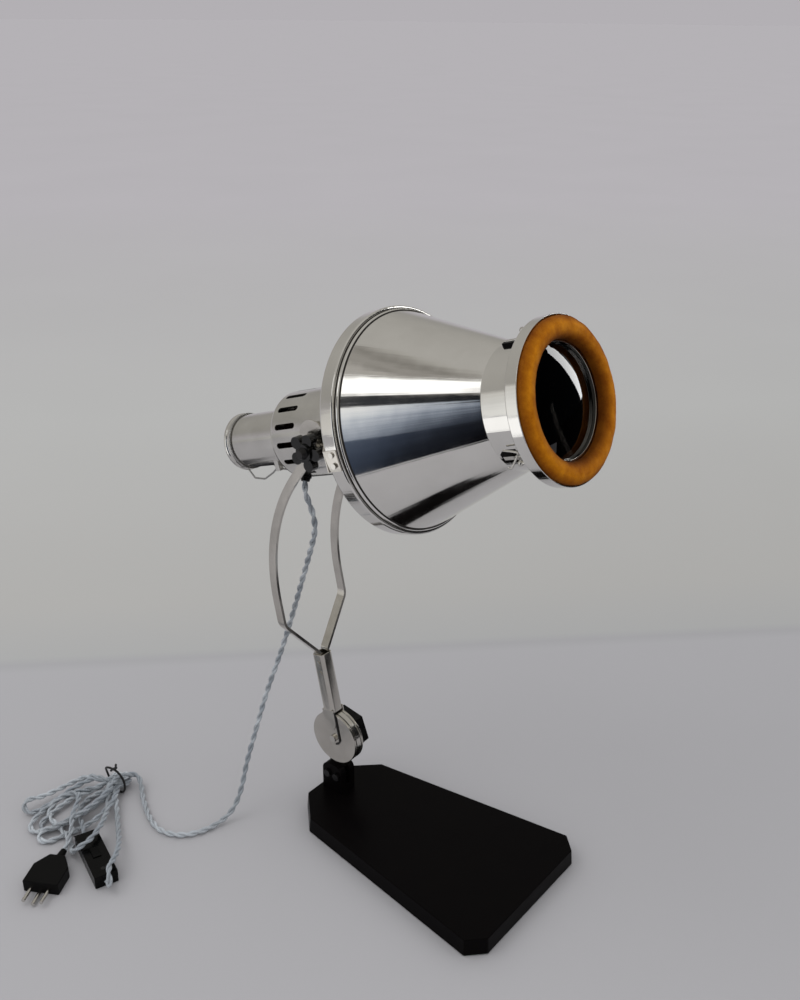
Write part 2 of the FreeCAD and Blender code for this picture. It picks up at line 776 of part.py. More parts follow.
def strip_side(points, radii, shift):
    """One edge of a strip: the path moved sideways in its own plane."""
    plane_normal = (points[1] - points[0]).cross(points[2] - points[1]).normalize()
    if sum(plane_normal) < 0:
        plane_normal = plane_normal * -1
    moved = []
    moved_radii = []
    for index, point in enumerate(points):
        before = (point - points[index - 1]).normalize() if index else None
        after = (points[index + 1] - point).normalize() if index + 1 < len(points) else None
        sides = [plane_normal.cross(way) for way in (before, after) if way is not None]
        if len(sides) == 1:
            moved.append(point + sides[0] * shift)
            continue
        both = sides[0] + sides[1]
        moved.append(point + both * (2 * shift / both.dot(both)))
        turn = before.cross(after).dot(plane_normal)
        moved_radii.append(radii[index - 1] - math.copysign(1, turn) * shift)
    return rounded_wire(moved, moved_radii)


def stem_point(along):
    """X and Z of a point up the stem's middle line."""
    lean = math.radians(value("stem_lean"))
    return (value("joint_x") - along * math.sin(lean), value("joint_height") + along * math.cos(lean))


EYE_INNER = "(neck_radius + bracket_thickness + gap)"
bar_middle = value(EYE_INNER + " + bar_thickness / 2")
bar_seat = value(DISC_OUTER + " - bar_thickness / 2")
foot_x, foot_z = stem_point(value("bar_foot"))
spread_start = stem_point(value("stem_top + bar_spread_rise"))[1]
spread_end = stem_point(value("bar_spread_end"))[1]
pivot_x, pivot_z = value("pivot_x"), value("pivot_height")
lean_slope = math.tan(math.radians(value("stem_lean")))
arm_slope = math.tan(math.radians(value("arm_slope")))
knee_z = ((pivot_x - foot_x - arm_slope * pivot_z - lean_slope * foot_z) / (-lean_slope - arm_slope))
knee_x = pivot_x - arm_slope * (pivot_z - knee_z)
front_points = [Vector(0, bar_seat, foot_z), Vector(0, bar_seat, spread_start),
                Vector(0, bar_middle, spread_end), Vector(0, bar_middle, pivot_z + 20)]
side_points = [Vector(foot_x, 0, foot_z), Vector(knee_x, 0, knee_z), Vector(pivot_x, 0, pivot_z)]
front_radii = [value("foot_bend_radius"), value("spread_bend_radius")]
side_radii = [value("arm_bend_radius")]
front_face = strip_face(front_points, front_radii, value("bar_thickness") / 2)
side_face = strip_face(side_points, side_radii, value("bar_width") / 2)
SWEEP_ROOM = 200
bar_front = front_face.extrude(Vector(2 * SWEEP_ROOM, 0, 0))
bar_front.translate(Vector(pivot_x - SWEEP_ROOM, 0, 0))
bar_side = side_face.extrude(Vector(0, SWEEP_ROOM, 0))
bar_shape = bar_front.common(bar_side).Solids[0]
for side, name in ((-1, "fork_arm_near"), (1, "fork_arm_far")):
    shape = bar_shape.copy() if side > 0 else bar_shape.mirror(Vector(0, 0, 0), Vector(0, 1, 0))
    bar = fixed_shape(name + "_bar", shape)
    start = EYE_INNER if side > 0 else "-%s - bar_thickness" % EYE_INNER
    eye = rod(name + "_eye", PIVOT, "y", ("0", start, "0"), "bar_thickness", "eye_radius")
    eye_bore = rod(name + "_eye_bore", PIVOT, "y", ("0", start + " - 1", "0"),
                   "bar_thickness + 2", "stud_radius + running_gap")
    holes = [fork_rivet_hole("%s_hole_%d" % (name, number), station)
             for number, station in enumerate(RIVET_STATIONS)]
    keep(name, cut(name, join(name, bar, eye), eye_bore, *holes))

# ---------------------------------------------------------------- head: neck, dome, band, cone, collar
neck_blank = turned("neck_blank", HEAD, [
    ("neck_back", "neck_hole_radius"),
    ("neck_back", "neck_radius - neck_edge_round", "neck_edge_round", -1),
    ("neck_back + neck_edge_round", "neck_radius"),
    ("neck_front", "neck_radius"),
    ("neck_front", "neck_radius - sheet_metal"),
    ("neck_back + neck_edge_round", "neck_radius - sheet_metal", "neck_edge_round - sheet_metal", 1),
    ("neck_back + sheet_metal", "neck_radius - neck_edge_round"),
    ("neck_back + sheet_metal", "neck_hole_radius"),
])
neck_cutters = []
for number in range(int(value("slot_count"))):
    turn = about_axis("%d * 360 / slot_count - slot_turn" % number)
    middle = block("slot_box_%d" % number, HEAD,
                   ("slot_start + slot_width / 2", "-slot_width / 2", "neck_radius - 4"),
                   ("slot_start + slot_length - slot_width / 2", "slot_width / 2", "neck_radius + 4"),
                   turn)
    ends = [rod("slot_end_%d_%d" % (number, end), HEAD, "z", (station, "0", "neck_radius - 4"),
                "8", "slot_width / 2", turn)
            for end, station in enumerate(("slot_start + slot_width / 2",
                                           "slot_start + slot_length - slot_width / 2"))]
    neck_cutters.append(join("slot_%d" % number, middle, *ends))
gland_hole = rod("gland_hole", HEAD, "z", ("gland_station", "0", "neck_radius - 6"), "12",
                 "gland_stem_radius", about_axis("gland_angle"))
neck_cutters.append(gland_hole)
all_slots = group("neck_cutters", neck_cutters)
keep("neck_shell", cut("neck_shell", neck_blank, all_slots))

keep("reflector_dome", turned("reflector_dome", HEAD, [
    ("neck_front - sheet_metal", "neck_radius", "dome_curve_radius", -1),
    ("0", "dome_edge_radius"),
    ("0", "dome_edge_radius - 1.6 * sheet_metal", "dome_curve_radius - sheet_metal", 1),
    ("neck_front", "neck_radius"),
]))

keep("hood_band", turned("hood_band_blank", HEAD, [
    ("-sheet_metal", "dome_edge_radius + running_gap"),
    ("-sheet_metal", "band_radius"),
    ("band_length", "band_radius"),
    ("band_length", "cone_back_radius + 1.5"),
    ("band_length - sheet_metal", "cone_back_radius + 1.5"),
    ("band_length - sheet_metal", "band_radius - band_wall"),
    ("0", "band_radius - band_wall"),
    ("0", "dome_edge_radius + running_gap"),
]))

keep("cone_hood", turned("cone_hood", HEAD, [
    ("band_length - 2 * sheet_metal", "cone_back_radius - sheet_metal"),
    ("band_length - 2 * sheet_metal", "band_radius - band_wall - gap"),
    ("band_length - sheet_metal", "band_radius - band_wall - gap"),
    ("band_length - sheet_metal", "cone_back_radius + 1.3"),
    ("band_length", "cone_back_radius + 1.3"),
    ("band_length + 0.4", "cone_bead_radius"),
    ("band_length + cone_bead_width - 0.6", "cone_bead_radius"),
    ("cone_start", "cone_back_radius"),
    ("cone_end", "cone_front_radius"),
    ("cone_end", "cone_front_radius - 1.3 * sheet_metal"),
    ("cone_start", "cone_back_radius - 1.3 * sheet_metal"),
]))

keep("front_collar", turned("front_collar", HEAD, [
    ("cone_end", "collar_radius - sheet_metal"),
    ("cone_end", "collar_radius"),
    ("lip_start", "collar_radius"),
    ("lip_start", "lip_radius"),
    ("collar_end", "lip_radius"),
    ("collar_end", "collar_radius - sheet_metal"),
]))

# ---------------------------------------------------------------- head: rear cap, lid, spring wire
cap_tube = turned("cap_tube", HEAD, [
    ("cap_back", "cap_radius - sheet_metal"),
    ("cap_back", "cap_radius"),
    ("neck_back - cap_collar_length - 2", "cap_radius"),
    ("neck_back - cap_collar_length - 2", "cap_collar_radius"),
    ("neck_back - 2", "cap_collar_radius"),
    ("neck_back", "cap_collar_flange"),
    ("neck_back", "cap_radius - sheet_metal"),
])
keep("cap_lid", turned("cap_lid", HEAD, [
    ("lid_back", "0"),
    ("lid_back", "lid_rim_radius - 2"),
    ("lid_back + 2", "lid_rim_radius"),
    ("lid_back + lid_length", "lid_rim_radius"),
    ("lid_back + lid_length", "cap_radius"),
    ("cap_back", "cap_radius"),
    ("cap_back", "0"),
]))
ears = []
for side, offset in (("near", "-ear_offset"), ("far", "ear_offset")):
    ear_block = block("ear_block_%s" % side, HEAD,
                      ("ear_forward - ear_length", offset + " - ear_width / 2", "-ear_drop"),
                      ("ear_forward", offset + " + ear_width / 2", "-cap_radius / 2"))
    ear_seat = rod("ear_seat_%s" % side, HEAD, "x", ("cap_back", "0", "0"),
                   "neck_back - cap_back", "cap_radius - sheet_metal / 2")
    ears.append(cut("wire_ear_%s" % side, ear_block, ear_seat))
keep("rear_cap", join("rear_cap", cap_tube, *ears))


def in_head(along, across, rise):
    """A point of the head's frame, in the row's frame."""
    return doc.getObject("head_frame").Placement.multVec(Vector(along, across, rise))


def round_tube(wire, radius):
    """A round solid along a wire."""
    start = wire.OrderedEdges[0]
    way = start.tangentAt(start.FirstParameter)
    ring = Part.Wire(Part.makeCircle(radius, wire.OrderedVertexes[0].Point, way))
    return wire.makePipeShell([ring], True, False)


wire_radius = value("wire_radius")
loop_station = value("lid_back + lid_length + wire_radius")
loop_radius = value("cap_radius + wire_radius")
loop_end = math.radians(value("loop_end"))
loop_arc = Part.Arc(
    in_head(loop_station, -loop_radius * math.cos(loop_end), -loop_radius * math.sin(loop_end)),
    in_head(loop_station, 0, loop_radius),
    in_head(loop_station, loop_radius * math.cos(loop_end), -loop_radius * math.sin(loop_end)))
spring_parts = [round_tube(Part.Wire(loop_arc.toShape()), wire_radius)]
ear_back = value("ear_forward - ear_length")
# Points of a leg between the loop and its ear: station and height.
WIRE_LEG = ((loop_station + 10, -36.5), (loop_station + 25, -38.5), (ear_back - 9, -33),
            (ear_back, -28))
WIRE_BENDS = (4, 5, 5)
for side in (-1, 1):
    leg = [in_head(loop_station, side * loop_radius * math.cos(loop_end),
                   -loop_radius * math.sin(loop_end))]
    leg += [in_head(station, side * value("ear_offset"), height) for station, height in WIRE_LEG]
    spring_parts.append(round_tube(rounded_wire(leg, WIRE_BENDS), wire_radius))
    knuckle = Part.makeSphere(wire_radius, leg[0])
    spring_parts.append(knuckle)
spring_shape = spring_parts[0].multiFuse(spring_parts[1:])
keep("lid_spring_wire", fixed_shape("lid_spring_wire", spring_shape))

# ---------------------------------------------------------------- head: lamp holder, bulb, terminals
keep("lamp_holder", turned("lamp_holder", HEAD, [
    ("holder_back", "0"),
    ("holder_back", "holder_radius - 3"),
    ("neck_back", "holder_radius"),
    ("neck_back + sheet_metal", "holder_radius"),
    ("neck_back + sheet_metal", "holder_flange_radius"),
    ("neck_back + sheet_metal + holder_flange_thickness", "holder_flange_radius"),
    ("neck_back + sheet_metal + holder_flange_thickness", "holder_radius"),
    ("holder_front", "holder_radius"),
    ("holder_front", "holder_bore"),
    ("holder_floor", "holder_bore"),
    ("holder_floor", "0"),
]))
keep("bulb_cap", turned("bulb_cap", HEAD, [
    ("holder_floor", "0"),
    ("holder_floor", "4"),
    ("holder_floor + 3", "bulb_cap_radius"),
    ("holder_front", "bulb_cap_radius"),
    ("holder_front", "0"),
]))
keep("bulb_glass", turned("bulb_glass", HEAD, [
    ("holder_front", "0"),
    ("holder_front", "bulb_cap_radius"),
    ("bulb_centre - bulb_radius", "bulb_neck_radius"),
    ("bulb_centre - bulb_radius * 0.4", "bulb_radius * sqrt(0.84)", "bulb_radius", -1),
    ("bulb_centre + bulb_radius", "0"),
]))
keep("terminal_block", block("terminal_block", HEAD,
                             ("holder_back - terminal_length", "-terminal_width / 2",
                              "-terminal_height / 2"),
                             ("holder_back", "terminal_width / 2", "terminal_height / 2")))

gland_turn = about_axis("gland_angle")
gland_stem = rod("gland_stem", HEAD, "z", ("gland_station", "0", "neck_radius - 3"), "3.5",
                 "gland_stem_radius", gland_turn)
gland_flange = rod("gland_flange", HEAD, "z", ("gland_station", "0", "neck_radius"),
                   "gland_flange_thickness", "gland_flange_radius", gland_turn)
gland_nose = taper_rod("gland_nose", HEAD, "z",
                       ("gland_station", "0", "neck_radius + gland_flange_thickness"),
                       "gland_nose_length", "gland_flange_radius - 0.8", "gland_nose_radius",
                       gland_turn)
keep("cord_gland", join("cord_gland", gland_stem, gland_flange, gland_nose))

# ---------------------------------------------------------------- head: side brackets and their rivets
STRAP_LOW = "-pivot_drop - bracket_foot"
STRAP_START = "-pivot_setback + bracket_half_width"
STRAP_REACH = "(band_radius - neck_radius)"
RIVET_HEIGHTS = ("-rivet_drop - rivet_drop / 2 - rivet_spread", "-rivet_drop + rivet_drop / 2")
rivets = []
for side, sign, name in ((-1, "-", "side_bracket_near"), (1, "", "side_bracket_far")):
    grow = "0" if side < 0 else "bracket_thickness"
    plate = slab(name + "_plate", HEAD, "XZ_Plane", [
        (STRAP_START, STRAP_LOW),
        (STRAP_START, "-pivot_drop + bracket_rise - bracket_half_width", "bracket_half_width", 1),
        ("-pivot_setback", "-pivot_drop + bracket_rise", "bracket_half_width", 1),
        ("-pivot_setback - bracket_half_width",
         "-pivot_drop + bracket_rise - bracket_half_width"),
        ("-pivot_setback - bracket_half_width", STRAP_LOW),
    ], "bracket_thickness", at(("0", "%sneck_radius + %s" % (sign, grow), "0")))
    strap = slab(name + "_strap", HEAD, "XY_Plane", [
        (STRAP_START + " - 4", "%sneck_radius" % sign),
        (STRAP_START, "%sneck_radius" % sign),
        ("-sheet_metal", "%s(neck_radius + %s)" % (sign, STRAP_REACH)),
        ("-sheet_metal", "%s(neck_radius + %s + bracket_thickness)" % (sign, STRAP_REACH)),
        ("-sheet_metal - 1", "%s(neck_radius + %s + bracket_thickness)" % (sign, STRAP_REACH)),
        (STRAP_START + " - 1", "%s(neck_radius + bracket_thickness)" % sign),
        (STRAP_START + " - 4", "%s(neck_radius + bracket_thickness)" % sign),
    ], "bracket_foot + strap_rise", at(("0", "0", STRAP_LOW)))
    tab_ring = turned(name + "_tab_ring", HEAD, [
        ("-sheet_metal - 1", "band_radius"),
        ("-sheet_metal - 1", "band_radius + bracket_thickness"),
        ("bracket_tab", "band_radius + bracket_thickness"),
        ("bracket_tab", "band_radius"),
    ])
    tab_box = block(name + "_tab_box", HEAD,
                    ("-sheet_metal - 2", "0" if side > 0 else "-band_radius * 1.1", STRAP_LOW),
                    ("bracket_tab + 1", "band_radius * 1.1" if side > 0 else "0",
                     "-pivot_drop + strap_rise"))
    tab = overlap(name + "_tab", tab_ring, tab_box)
    holes = []
    for number, height in enumerate(RIVET_HEIGHTS):
        start = "0" if side > 0 else "-band_radius - 20"
        holes.append(rod("%s_hole_%d" % (name, number), HEAD, "y",
                         ("band_length / 2", start, height), "band_radius + 20", "rivet_radius"))
        shank_end = "(band_radius + bracket_thickness)"
        shank = rod("%s_shank_%d" % (name, number), HEAD, "y",
                    ("band_length / 2", "band_radius - band_wall - 1" if side > 0
                     else "-" + shank_end, height), "bracket_thickness + band_wall + 1",
                    "rivet_radius")
        head = rod("%s_head_%d" % (name, number), HEAD, "y",
                   ("band_length / 2", shank_end if side > 0
                    else "-%s - rivet_head_height" % shank_end, height),
                   "rivet_head_height", "rivet_head_radius")
        rivets.append(join("%s_rivet_%d" % (name, number), shank, head))
    stud_hole = rod(name + "_stud_hole", HEAD, "y",
                    ("-pivot_setback", "0" if side > 0 else "-neck_radius - 20", "-pivot_drop"),
                    "neck_radius + 20", "stud_radius")
    hole_set = group(name + "_holes", holes)
    keep(name, cut(name, join(name, plate, strap, tab), hole_set, stud_hole))
    band_before = nodes["hood_band"]
    nodes["hood_band"] = cut("hood_band_%s" % name, band_before, hole_set)
nodes["hood_band"].Label = "hood_band"
keep("bracket_rivets", group("bracket_rivets", rivets))

WASHER_FACE = "(neck_radius + bracket_thickness + 2 * gap + bar_thickness)"
WING_FACE = "(%s + pivot_washer_thickness + gap)" % WASHER_FACE
NEAR_STUD_END = "(%s + wing_hub_length - stud_end)" % WING_FACE
FAR_STUD_END = "(%s + pivot_washer_thickness + nut_thickness + stud_end)" % WASHER_FACE
studs = [rod("stud_near", HEAD, "y", ("-pivot_setback", "-" + NEAR_STUD_END, "-pivot_drop"),
             NEAR_STUD_END + " - neck_radius", "stud_radius"),
         rod("stud_far", HEAD, "y", ("-pivot_setback", "neck_radius", "-pivot_drop"),
             FAR_STUD_END + " - neck_radius", "stud_radius")]
keep("pivot_studs", group("pivot_studs", studs))
washers = []
for side, start in (("near", "-%s - pivot_washer_thickness" % WASHER_FACE), ("far", WASHER_FACE)):
    blank = rod("pivot_washer_%s" % side, HEAD, "y", ("-pivot_setback", start, "-pivot_drop"),
                "pivot_washer_thickness", "pivot_washer_radius")
    bore = rod("pivot_washer_bore_%s" % side, HEAD, "y",
               ("-pivot_setback", start + " - 1", "-pivot_drop"),
               "pivot_washer_thickness + 2", "stud_radius")
    washers.append(cut("pivot_washer_%s" % side, blank, bore))
keep("pivot_washers", group("pivot_washers", washers))
nut_blank = slab("nut_blank", HEAD, "XZ_Plane",
                 [("nut_radius * cos(%d)" % turn, "nut_radius * sin(%d)" % turn)
                  for turn in range(0, 360, 60)], "nut_thickness",
                 at(("-pivot_setback", WASHER_FACE + " + pivot_washer_thickness + nut_thickness",
                     "-pivot_drop")))
nut_bore = rod("nut_bore", HEAD, "y", ("-pivot_setback", "0", "-pivot_drop"),
               "neck_radius * 2", "stud_radius")
keep("pivot_nut", cut("pivot_nut", nut_blank, nut_bore))

# ---------------------------------------------------------------- wing knob on the near stud
wing_parts = [rod("wing_hub", HEAD, "y",
                  ("-pivot_setback", "-%s - wing_hub_length" % WING_FACE, "-pivot_drop"),
                  "wing_hub_length", "wing_hub_radius")]
for number in range(int(value("lobe_count"))):
    angle = "(lobe_turn + %d * 360 / lobe_count)" % number
    lobe_x = "lobe_reach * cos(%s)" % angle
    lobe_z = "lobe_reach * sin(%s)" % angle
    lobe_start = "-%s - wing_lift - lobe_thickness" % WING_FACE
    wing_parts.append(rod("wing_lobe_%d" % number, HEAD, "y",
                          ("-pivot_setback + " + lobe_x, lobe_start, "-pivot_drop + " + lobe_z),
                          "lobe_thickness", "lobe_radius"))
    wing_parts.append(block("wing_web_%d" % number, HEAD,
                            ("0", lobe_start, "-lobe_radius * 0.8"),
                            ("lobe_reach", "-%s - wing_lift" % WING_FACE, "lobe_radius * 0.8"),
                            at(("-pivot_setback", "0", "-pivot_drop"), ("y", "-" + angle))))
wing_bore = rod("wing_bore", HEAD, "y",
                ("-pivot_setback", "-neck_radius * 2", "-pivot_drop"), "neck_radius",
                "stud_radius + running_gap")
keep("wing_knob", cut("wing_knob", join("wing_knob", *wing_parts), wing_bore))
keep("wing_cap", taper_rod("wing_cap", HEAD, "y",
                           ("-pivot_setback", "-%s - wing_hub_length - wing_cap_height" % WING_FACE,
                            "-pivot_drop"), "wing_cap_height", "wing_cap_radius - 2",
                           "wing_cap_radius"))

# ---------------------------------------------------------------- front holder, lens, pad
SPIGOT_OUTER = "(collar_radius - sheet_metal - spigot_play)"
keep("front_ring", turned("front_ring", HEAD, [
    ("spigot_start", SPIGOT_OUTER + " - sheet_metal"),
    ("spigot_start", SPIGOT_OUTER),
    ("ring_start", SPIGOT_OUTER),
    ("ring_start", "ring_radius - 1"),
    ("ring_start + 1", "ring_radius"),
    ("ring_end", "ring_radius"),
    ("ring_end", "ring_radius - ring_wall"),
    ("ring_start + ring_wall", "ring_radius - ring_wall"),
    ("ring_start + ring_wall", "ring_opening"),
    ("ring_start", "ring_opening"),
    ("ring_start", SPIGOT_OUTER + " - sheet_metal"),
]))
LENS_BACK = "(ring_start + ring_wall)"
keep("front_lens", turned("front_lens", HEAD, [
    (LENS_BACK, "0"),
    (LENS_BACK, "lens_radius"),
    (LENS_BACK + " + lens_thickness", "lens_radius"),
    (LENS_BACK + " + lens_thickness", "0"),
]))
RETAINER_BACK = "(%s + lens_thickness)" % LENS_BACK
PAD_SEAT = "(%s + lens_thickness + retainer_depth)" % LENS_BACK
keep("lens_retainer", turned("lens_retainer", HEAD, [
    (RETAINER_BACK, "lens_radius - retainer_width"),
    (RETAINER_BACK, "lens_radius + 1"),
    (PAD_SEAT, "lens_radius + 1"),
    (PAD_SEAT, "lens_radius - retainer_width"),
]))
keep("leather_pad", turned("leather_pad", HEAD, [
    (LENS_BACK, "lens_radius + 1"),
    (LENS_BACK, "ring_radius - ring_wall"),
    ("ring_end", "ring_radius - ring_wall"),
    ("ring_end + 0.4", "ring_radius - 0.4"),
    ("pad_end - 5.2", "ring_radius - 1.4"),
    ("pad_end - 2.4", "ring_radius - 4.4"),
    ("pad_end - 0.6", "ring_radius - 8"),
    ("pad_end", "(ring_radius + pad_inner_radius) / 2"),
    ("pad_end - 0.5", "pad_inner_radius + 6"),
    ("pad_end - 2", "pad_inner_radius + 2.8"),
    ("pad_end - 4.6", "pad_inner_radius + 0.7"),
    ("pad_end - 8", "pad_inner_radius"),
    (PAD_SEAT, "pad_inner_radius"),
    (PAD_SEAT, "lens_radius + 1"),
]))

# ---------------------------------------------------------------- spring clips of the front holder
clip_blocks = []
clip_springs = []
clip_pins = []
for number, angle in enumerate(CLIP_ANGLES):
    turn = about_axis(angle)
    clip_body = block("clip_body_%d" % number, HEAD,
                      ("clip_start", "-clip_width / 2", "collar_radius - 2"),
                      ("clip_end", "clip_width / 2", "collar_radius + clip_height"), turn)
    clip_seat = rod("clip_seat_%d" % number, HEAD, "x", ("cone_end", "0", "0"),
                    "collar_end - cone_end", "collar_radius")
    clip_blocks.append(cut("clip_block_%d" % number, clip_body, clip_seat))
    clip_springs.append(slab("clip_spring_%d" % number, HEAD, "XZ_Plane", [
        ("clip_start + 2", "collar_radius + clip_height"),
        ("clip_end", "collar_radius + clip_height"),
        ("lip_start - 1", "lip_radius"),
        ("spring_end", "lip_radius"),
        ("spring_end", "lip_radius + spring_thickness"),
        ("lip_start - 1.3", "lip_radius + spring_thickness"),
        ("clip_end - 0.3", "collar_radius + clip_height + spring_thickness"),
        ("clip_start + 2", "collar_radius + clip_height + spring_thickness"),
    ], "spring_width", turn, middle=True))
    pin = rod("clip_pin_shank_%d" % number, HEAD, "x",
              ("ring_start - clip_pin_length", "0", "clip_pin_circle"), "clip_pin_length",
              "clip_pin_radius", turn)
    ball = doc.addObject("Part::Sphere", "clip_pin_ball_%d" % number)
    ball.setExpression("Radius", formula("clip_ball_radius"))
    put(ball, HEAD, turn, at(("ring_start - clip_pin_length", "0", "clip_pin_circle")))
    clip_pins.append(join("clip_pin_%d" % number, pin, ball))
keep("clip_blocks", group("clip_blocks", clip_blocks))
keep("clip_springs", group("clip_springs", clip_springs))
keep("clip_pins", group("clip_pins", clip_pins))

# ---------------------------------------------------------------- inline switch
SWITCH_LOW = ("-switch_length / 2", "-switch_width / 2", "0")
SWITCH_HIGH = ("switch_length / 2", "switch_width / 2", "switch_height")
body_blank = block("switch_body_blank", SWITCH, SWITCH_LOW, SWITCH_HIGH[:2] + ("switch_split",))
body_cavity = block("switch_body_cavity", SWITCH,
                    ("-rocker_length", "switch_cavity - switch_width / 2", "switch_cavity"),
                    ("rocker_length", "switch_width / 2 - switch_cavity", "switch_split + 1"))
keep("switch_body", cut("switch_body", body_blank, body_cavity))
cover_blank = block("switch_cover_blank", SWITCH, SWITCH_LOW[:2] + ("switch_split",), SWITCH_HIGH)
cover_cavity = block("switch_cover_cavity", SWITCH,
                     ("-rocker_length", "switch_cavity - switch_width / 2", "switch_split - 1"),
                     ("rocker_length", "switch_width / 2 - switch_cavity",
                      "switch_height - switch_cavity"))
cover_window = block("switch_cover_window", SWITCH,
                     ("-rocker_length / 2 - gap", "-rocker_width / 2 - gap", "switch_split"),
                     ("rocker_length / 2 + gap", "rocker_width / 2 + gap", "switch_height + 1"))
PIN_HEIGHT = "switch_height - switch_cavity - rocker_pin_radius - 1"
bearing = block("switch_bearing", SWITCH,
                ("-rocker_pin_radius * 3", "switch_cavity - switch_width / 2 - 0.1",
                 PIN_HEIGHT + " - rocker_pin_radius - 1"),
                ("rocker_pin_radius * 3", "switch_width / 2 - switch_cavity + 0.1",
                 "switch_height - switch_cavity + 0.1"))
bearing_gap = block("switch_bearing_gap", SWITCH,
                    ("-rocker_length", "-rocker_width / 2 - gap", "switch_split - 1"),
                    ("rocker_length", "rocker_width / 2 + gap", "switch_height + 1"))
bearing_bore = rod("switch_bearing_bore", SWITCH, "y",
                   ("0", "-rocker_width / 2 - 2 - running_gap", PIN_HEIGHT),
                   "rocker_width + 4 + 2 * running_gap", "rocker_pin_radius + running_gap")
SCREW_STATIONS = ("switch_screw_inset - switch_length / 2", "switch_length / 2 - switch_screw_inset")
screw_holes = [rod("switch_screw_hole_%d" % number, SWITCH, "z",
                   (station, "0", "switch_height - 1.2"), "4", "switch_screw_radius")
               for number, station in enumerate(SCREW_STATIONS)]
cover_shell = cut("switch_cover_shell", cover_blank, cover_cavity, cover_window, *screw_holes)
bearing_pair = cut("switch_bearing_pair", bearing, bearing_gap, bearing_bore)
keep("switch_cover", join("switch_cover", cover_shell, bearing_pair))
keep("switch_screws", group("switch_screws", [
    rod("switch_screw_%d" % number, SWITCH, "z", (station, "0", "switch_height - 1.2"), "1.4",
        "switch_screw_radius") for number, station in enumerate(SCREW_STATIONS)]))

ROCKER_TURN = at(("0", "0", PIN_HEIGHT), ("y", "rocker_angle"))
rocker_blank = slab("rocker_blank", SWITCH, "XZ_Plane", [
    ("-rocker_length / 2 + 0.9", "0"),
    ("0", "-2.4"),
    ("rocker_length / 2 - 0.9", "0"),
    ("rocker_length / 2 - 0.7", "switch_height + rocker_stand - (%s)" % PIN_HEIGHT),
    ("0", "switch_height + rocker_stand - 0.9 - (%s)" % PIN_HEIGHT),
    ("-rocker_length / 2 + 0.7", "switch_height + rocker_stand - (%s)" % PIN_HEIGHT),
], "rocker_width", ROCKER_TURN, middle=True)
rocker_pin = rod("rocker_pin", SWITCH, "y",
                 ("0", "-rocker_width / 2 - 2", PIN_HEIGHT), "rocker_width + 4",
                 "rocker_pin_radius")
keep("switch_rocker", join("switch_rocker", rocker_blank, rocker_pin))

# ---------------------------------------------------------------- plug, pins, strain relief
keep("plug_body", slab("plug_body", PLUG, "XY_Plane", [
    ("0", "-plug_width / 2"),
    ("plug_shoulder", "-plug_width / 2"),
    ("plug_length", "-plug_neck_width / 2"),
    ("plug_length", "plug_neck_width / 2"),
    ("plug_shoulder", "plug_width / 2"),
    ("0", "plug_width / 2"),
], "plug_height"))
PIN_SPOTS = (("-plug_pin_spacing", "plug_height / 2"), ("plug_pin_spacing", "plug_height / 2"),
             ("0", "plug_height / 2 - plug_earth_drop"))
keep("plug_pins", group("plug_pins", [
    rod("plug_pin_%d" % number, PLUG, "x", ("-plug_pin_length", across, height),
        "plug_pin_length", "plug_pin_radius")
    for number, (across, height) in enumerate(PIN_SPOTS)]))
keep("plug_relief", taper_rod("plug_relief", PLUG, "x", ("plug_length", "0", "plug_height / 2"),
                              "relief_length", "relief_radius", "relief_tip_radius"))

# ---------------------------------------------------------------- cord, hank and tie
doc.recompute()
cord_radius = value("cord_diameter") / 2
# Straight length of cord where it leaves the gland and the switch, and where it leaves the plug.
LEAD = 10
RELIEF_LEAD = 6.5


def cord_wire(name, points):
    """The cord's line: straight runs joined by arcs as large as their runs allow."""
    points = [Vector(*point) for point in points]
    radii = []
    for index in range(1, len(points) - 1):
        back = points[index - 1] - points[index]
        ahead = points[index + 1] - points[index]
        half_turn = (math.pi - back.getAngle(ahead)) / 2
        radii.append(0.45 * min(back.Length, ahead.Length) / math.tan(half_turn))
    runs = [(points[index + 1] - points[index]).Length for index in range(len(points) - 1)]
    print(name, "runs", [round(run) for run in runs], "radii", [round(radius) for radius in radii])
    return rounded_wire(points, radii)


def cord_tube(name, points):
    """The cord's solid, whose volume is its section times its length."""
    wire = cord_wire(name, points)
    tube = round_tube(wire, cord_radius)
    share = tube.Volume / (math.pi * cord_radius ** 2 * wire.Length)
    print(name, "length", round(wire.Length, 1), "volume share", round(share, 4))
    if abs(share - 1) > 0.01:
        raise RuntimeError(name + " has the wrong volume")
    return tube


def in_frame(name, x, y, z):
    """A point of a named frame, in the row's frame."""
    return tuple(doc.getObject(name).Placement.multVec(Vector(x, y, z)))


def joint_drum(x, z, radius):
    """A long drum about a joint's axis, whose face parts the cord there."""
    return Part.makeCylinder(radius, 4 * SWEEP_ROOM, Vector(x, -2 * SWEEP_ROOM, z), Vector(0, 1, 0))


gland_out = value("neck_radius + gland_flange_thickness + gland_nose_length")
gland_turned = math.radians(value("gland_angle"))
cord_exit, cord_lead = [in_frame("head_frame", value("gland_station"),
                                 -reach * math.cos(gland_turned), reach * math.sin(gland_turned))
                        for reach in (gland_out, gland_out + LEAD)]
PARTING = 10
upper_tube = cord_tube("upper cord", (cord_exit, cord_lead) + CORD_ROUTE[:PARTING])
lower_tube = cord_tube("lower cord", CORD_ROUTE[PARTING - 1:])
half_gap = value("gap") / 2
head_reach, stem_reach = value("head_cord_reach"), value("stem_cord_reach")
joint_x, joint_z = value("joint_x"), value("joint_height")
cord_head = upper_tube.common(joint_drum(pivot_x, pivot_z, head_reach - half_gap))
cord_stem = upper_tube.cut(joint_drum(pivot_x, pivot_z, head_reach + half_gap)).cut(
    joint_drum(joint_x, joint_z, stem_reach + half_gap))
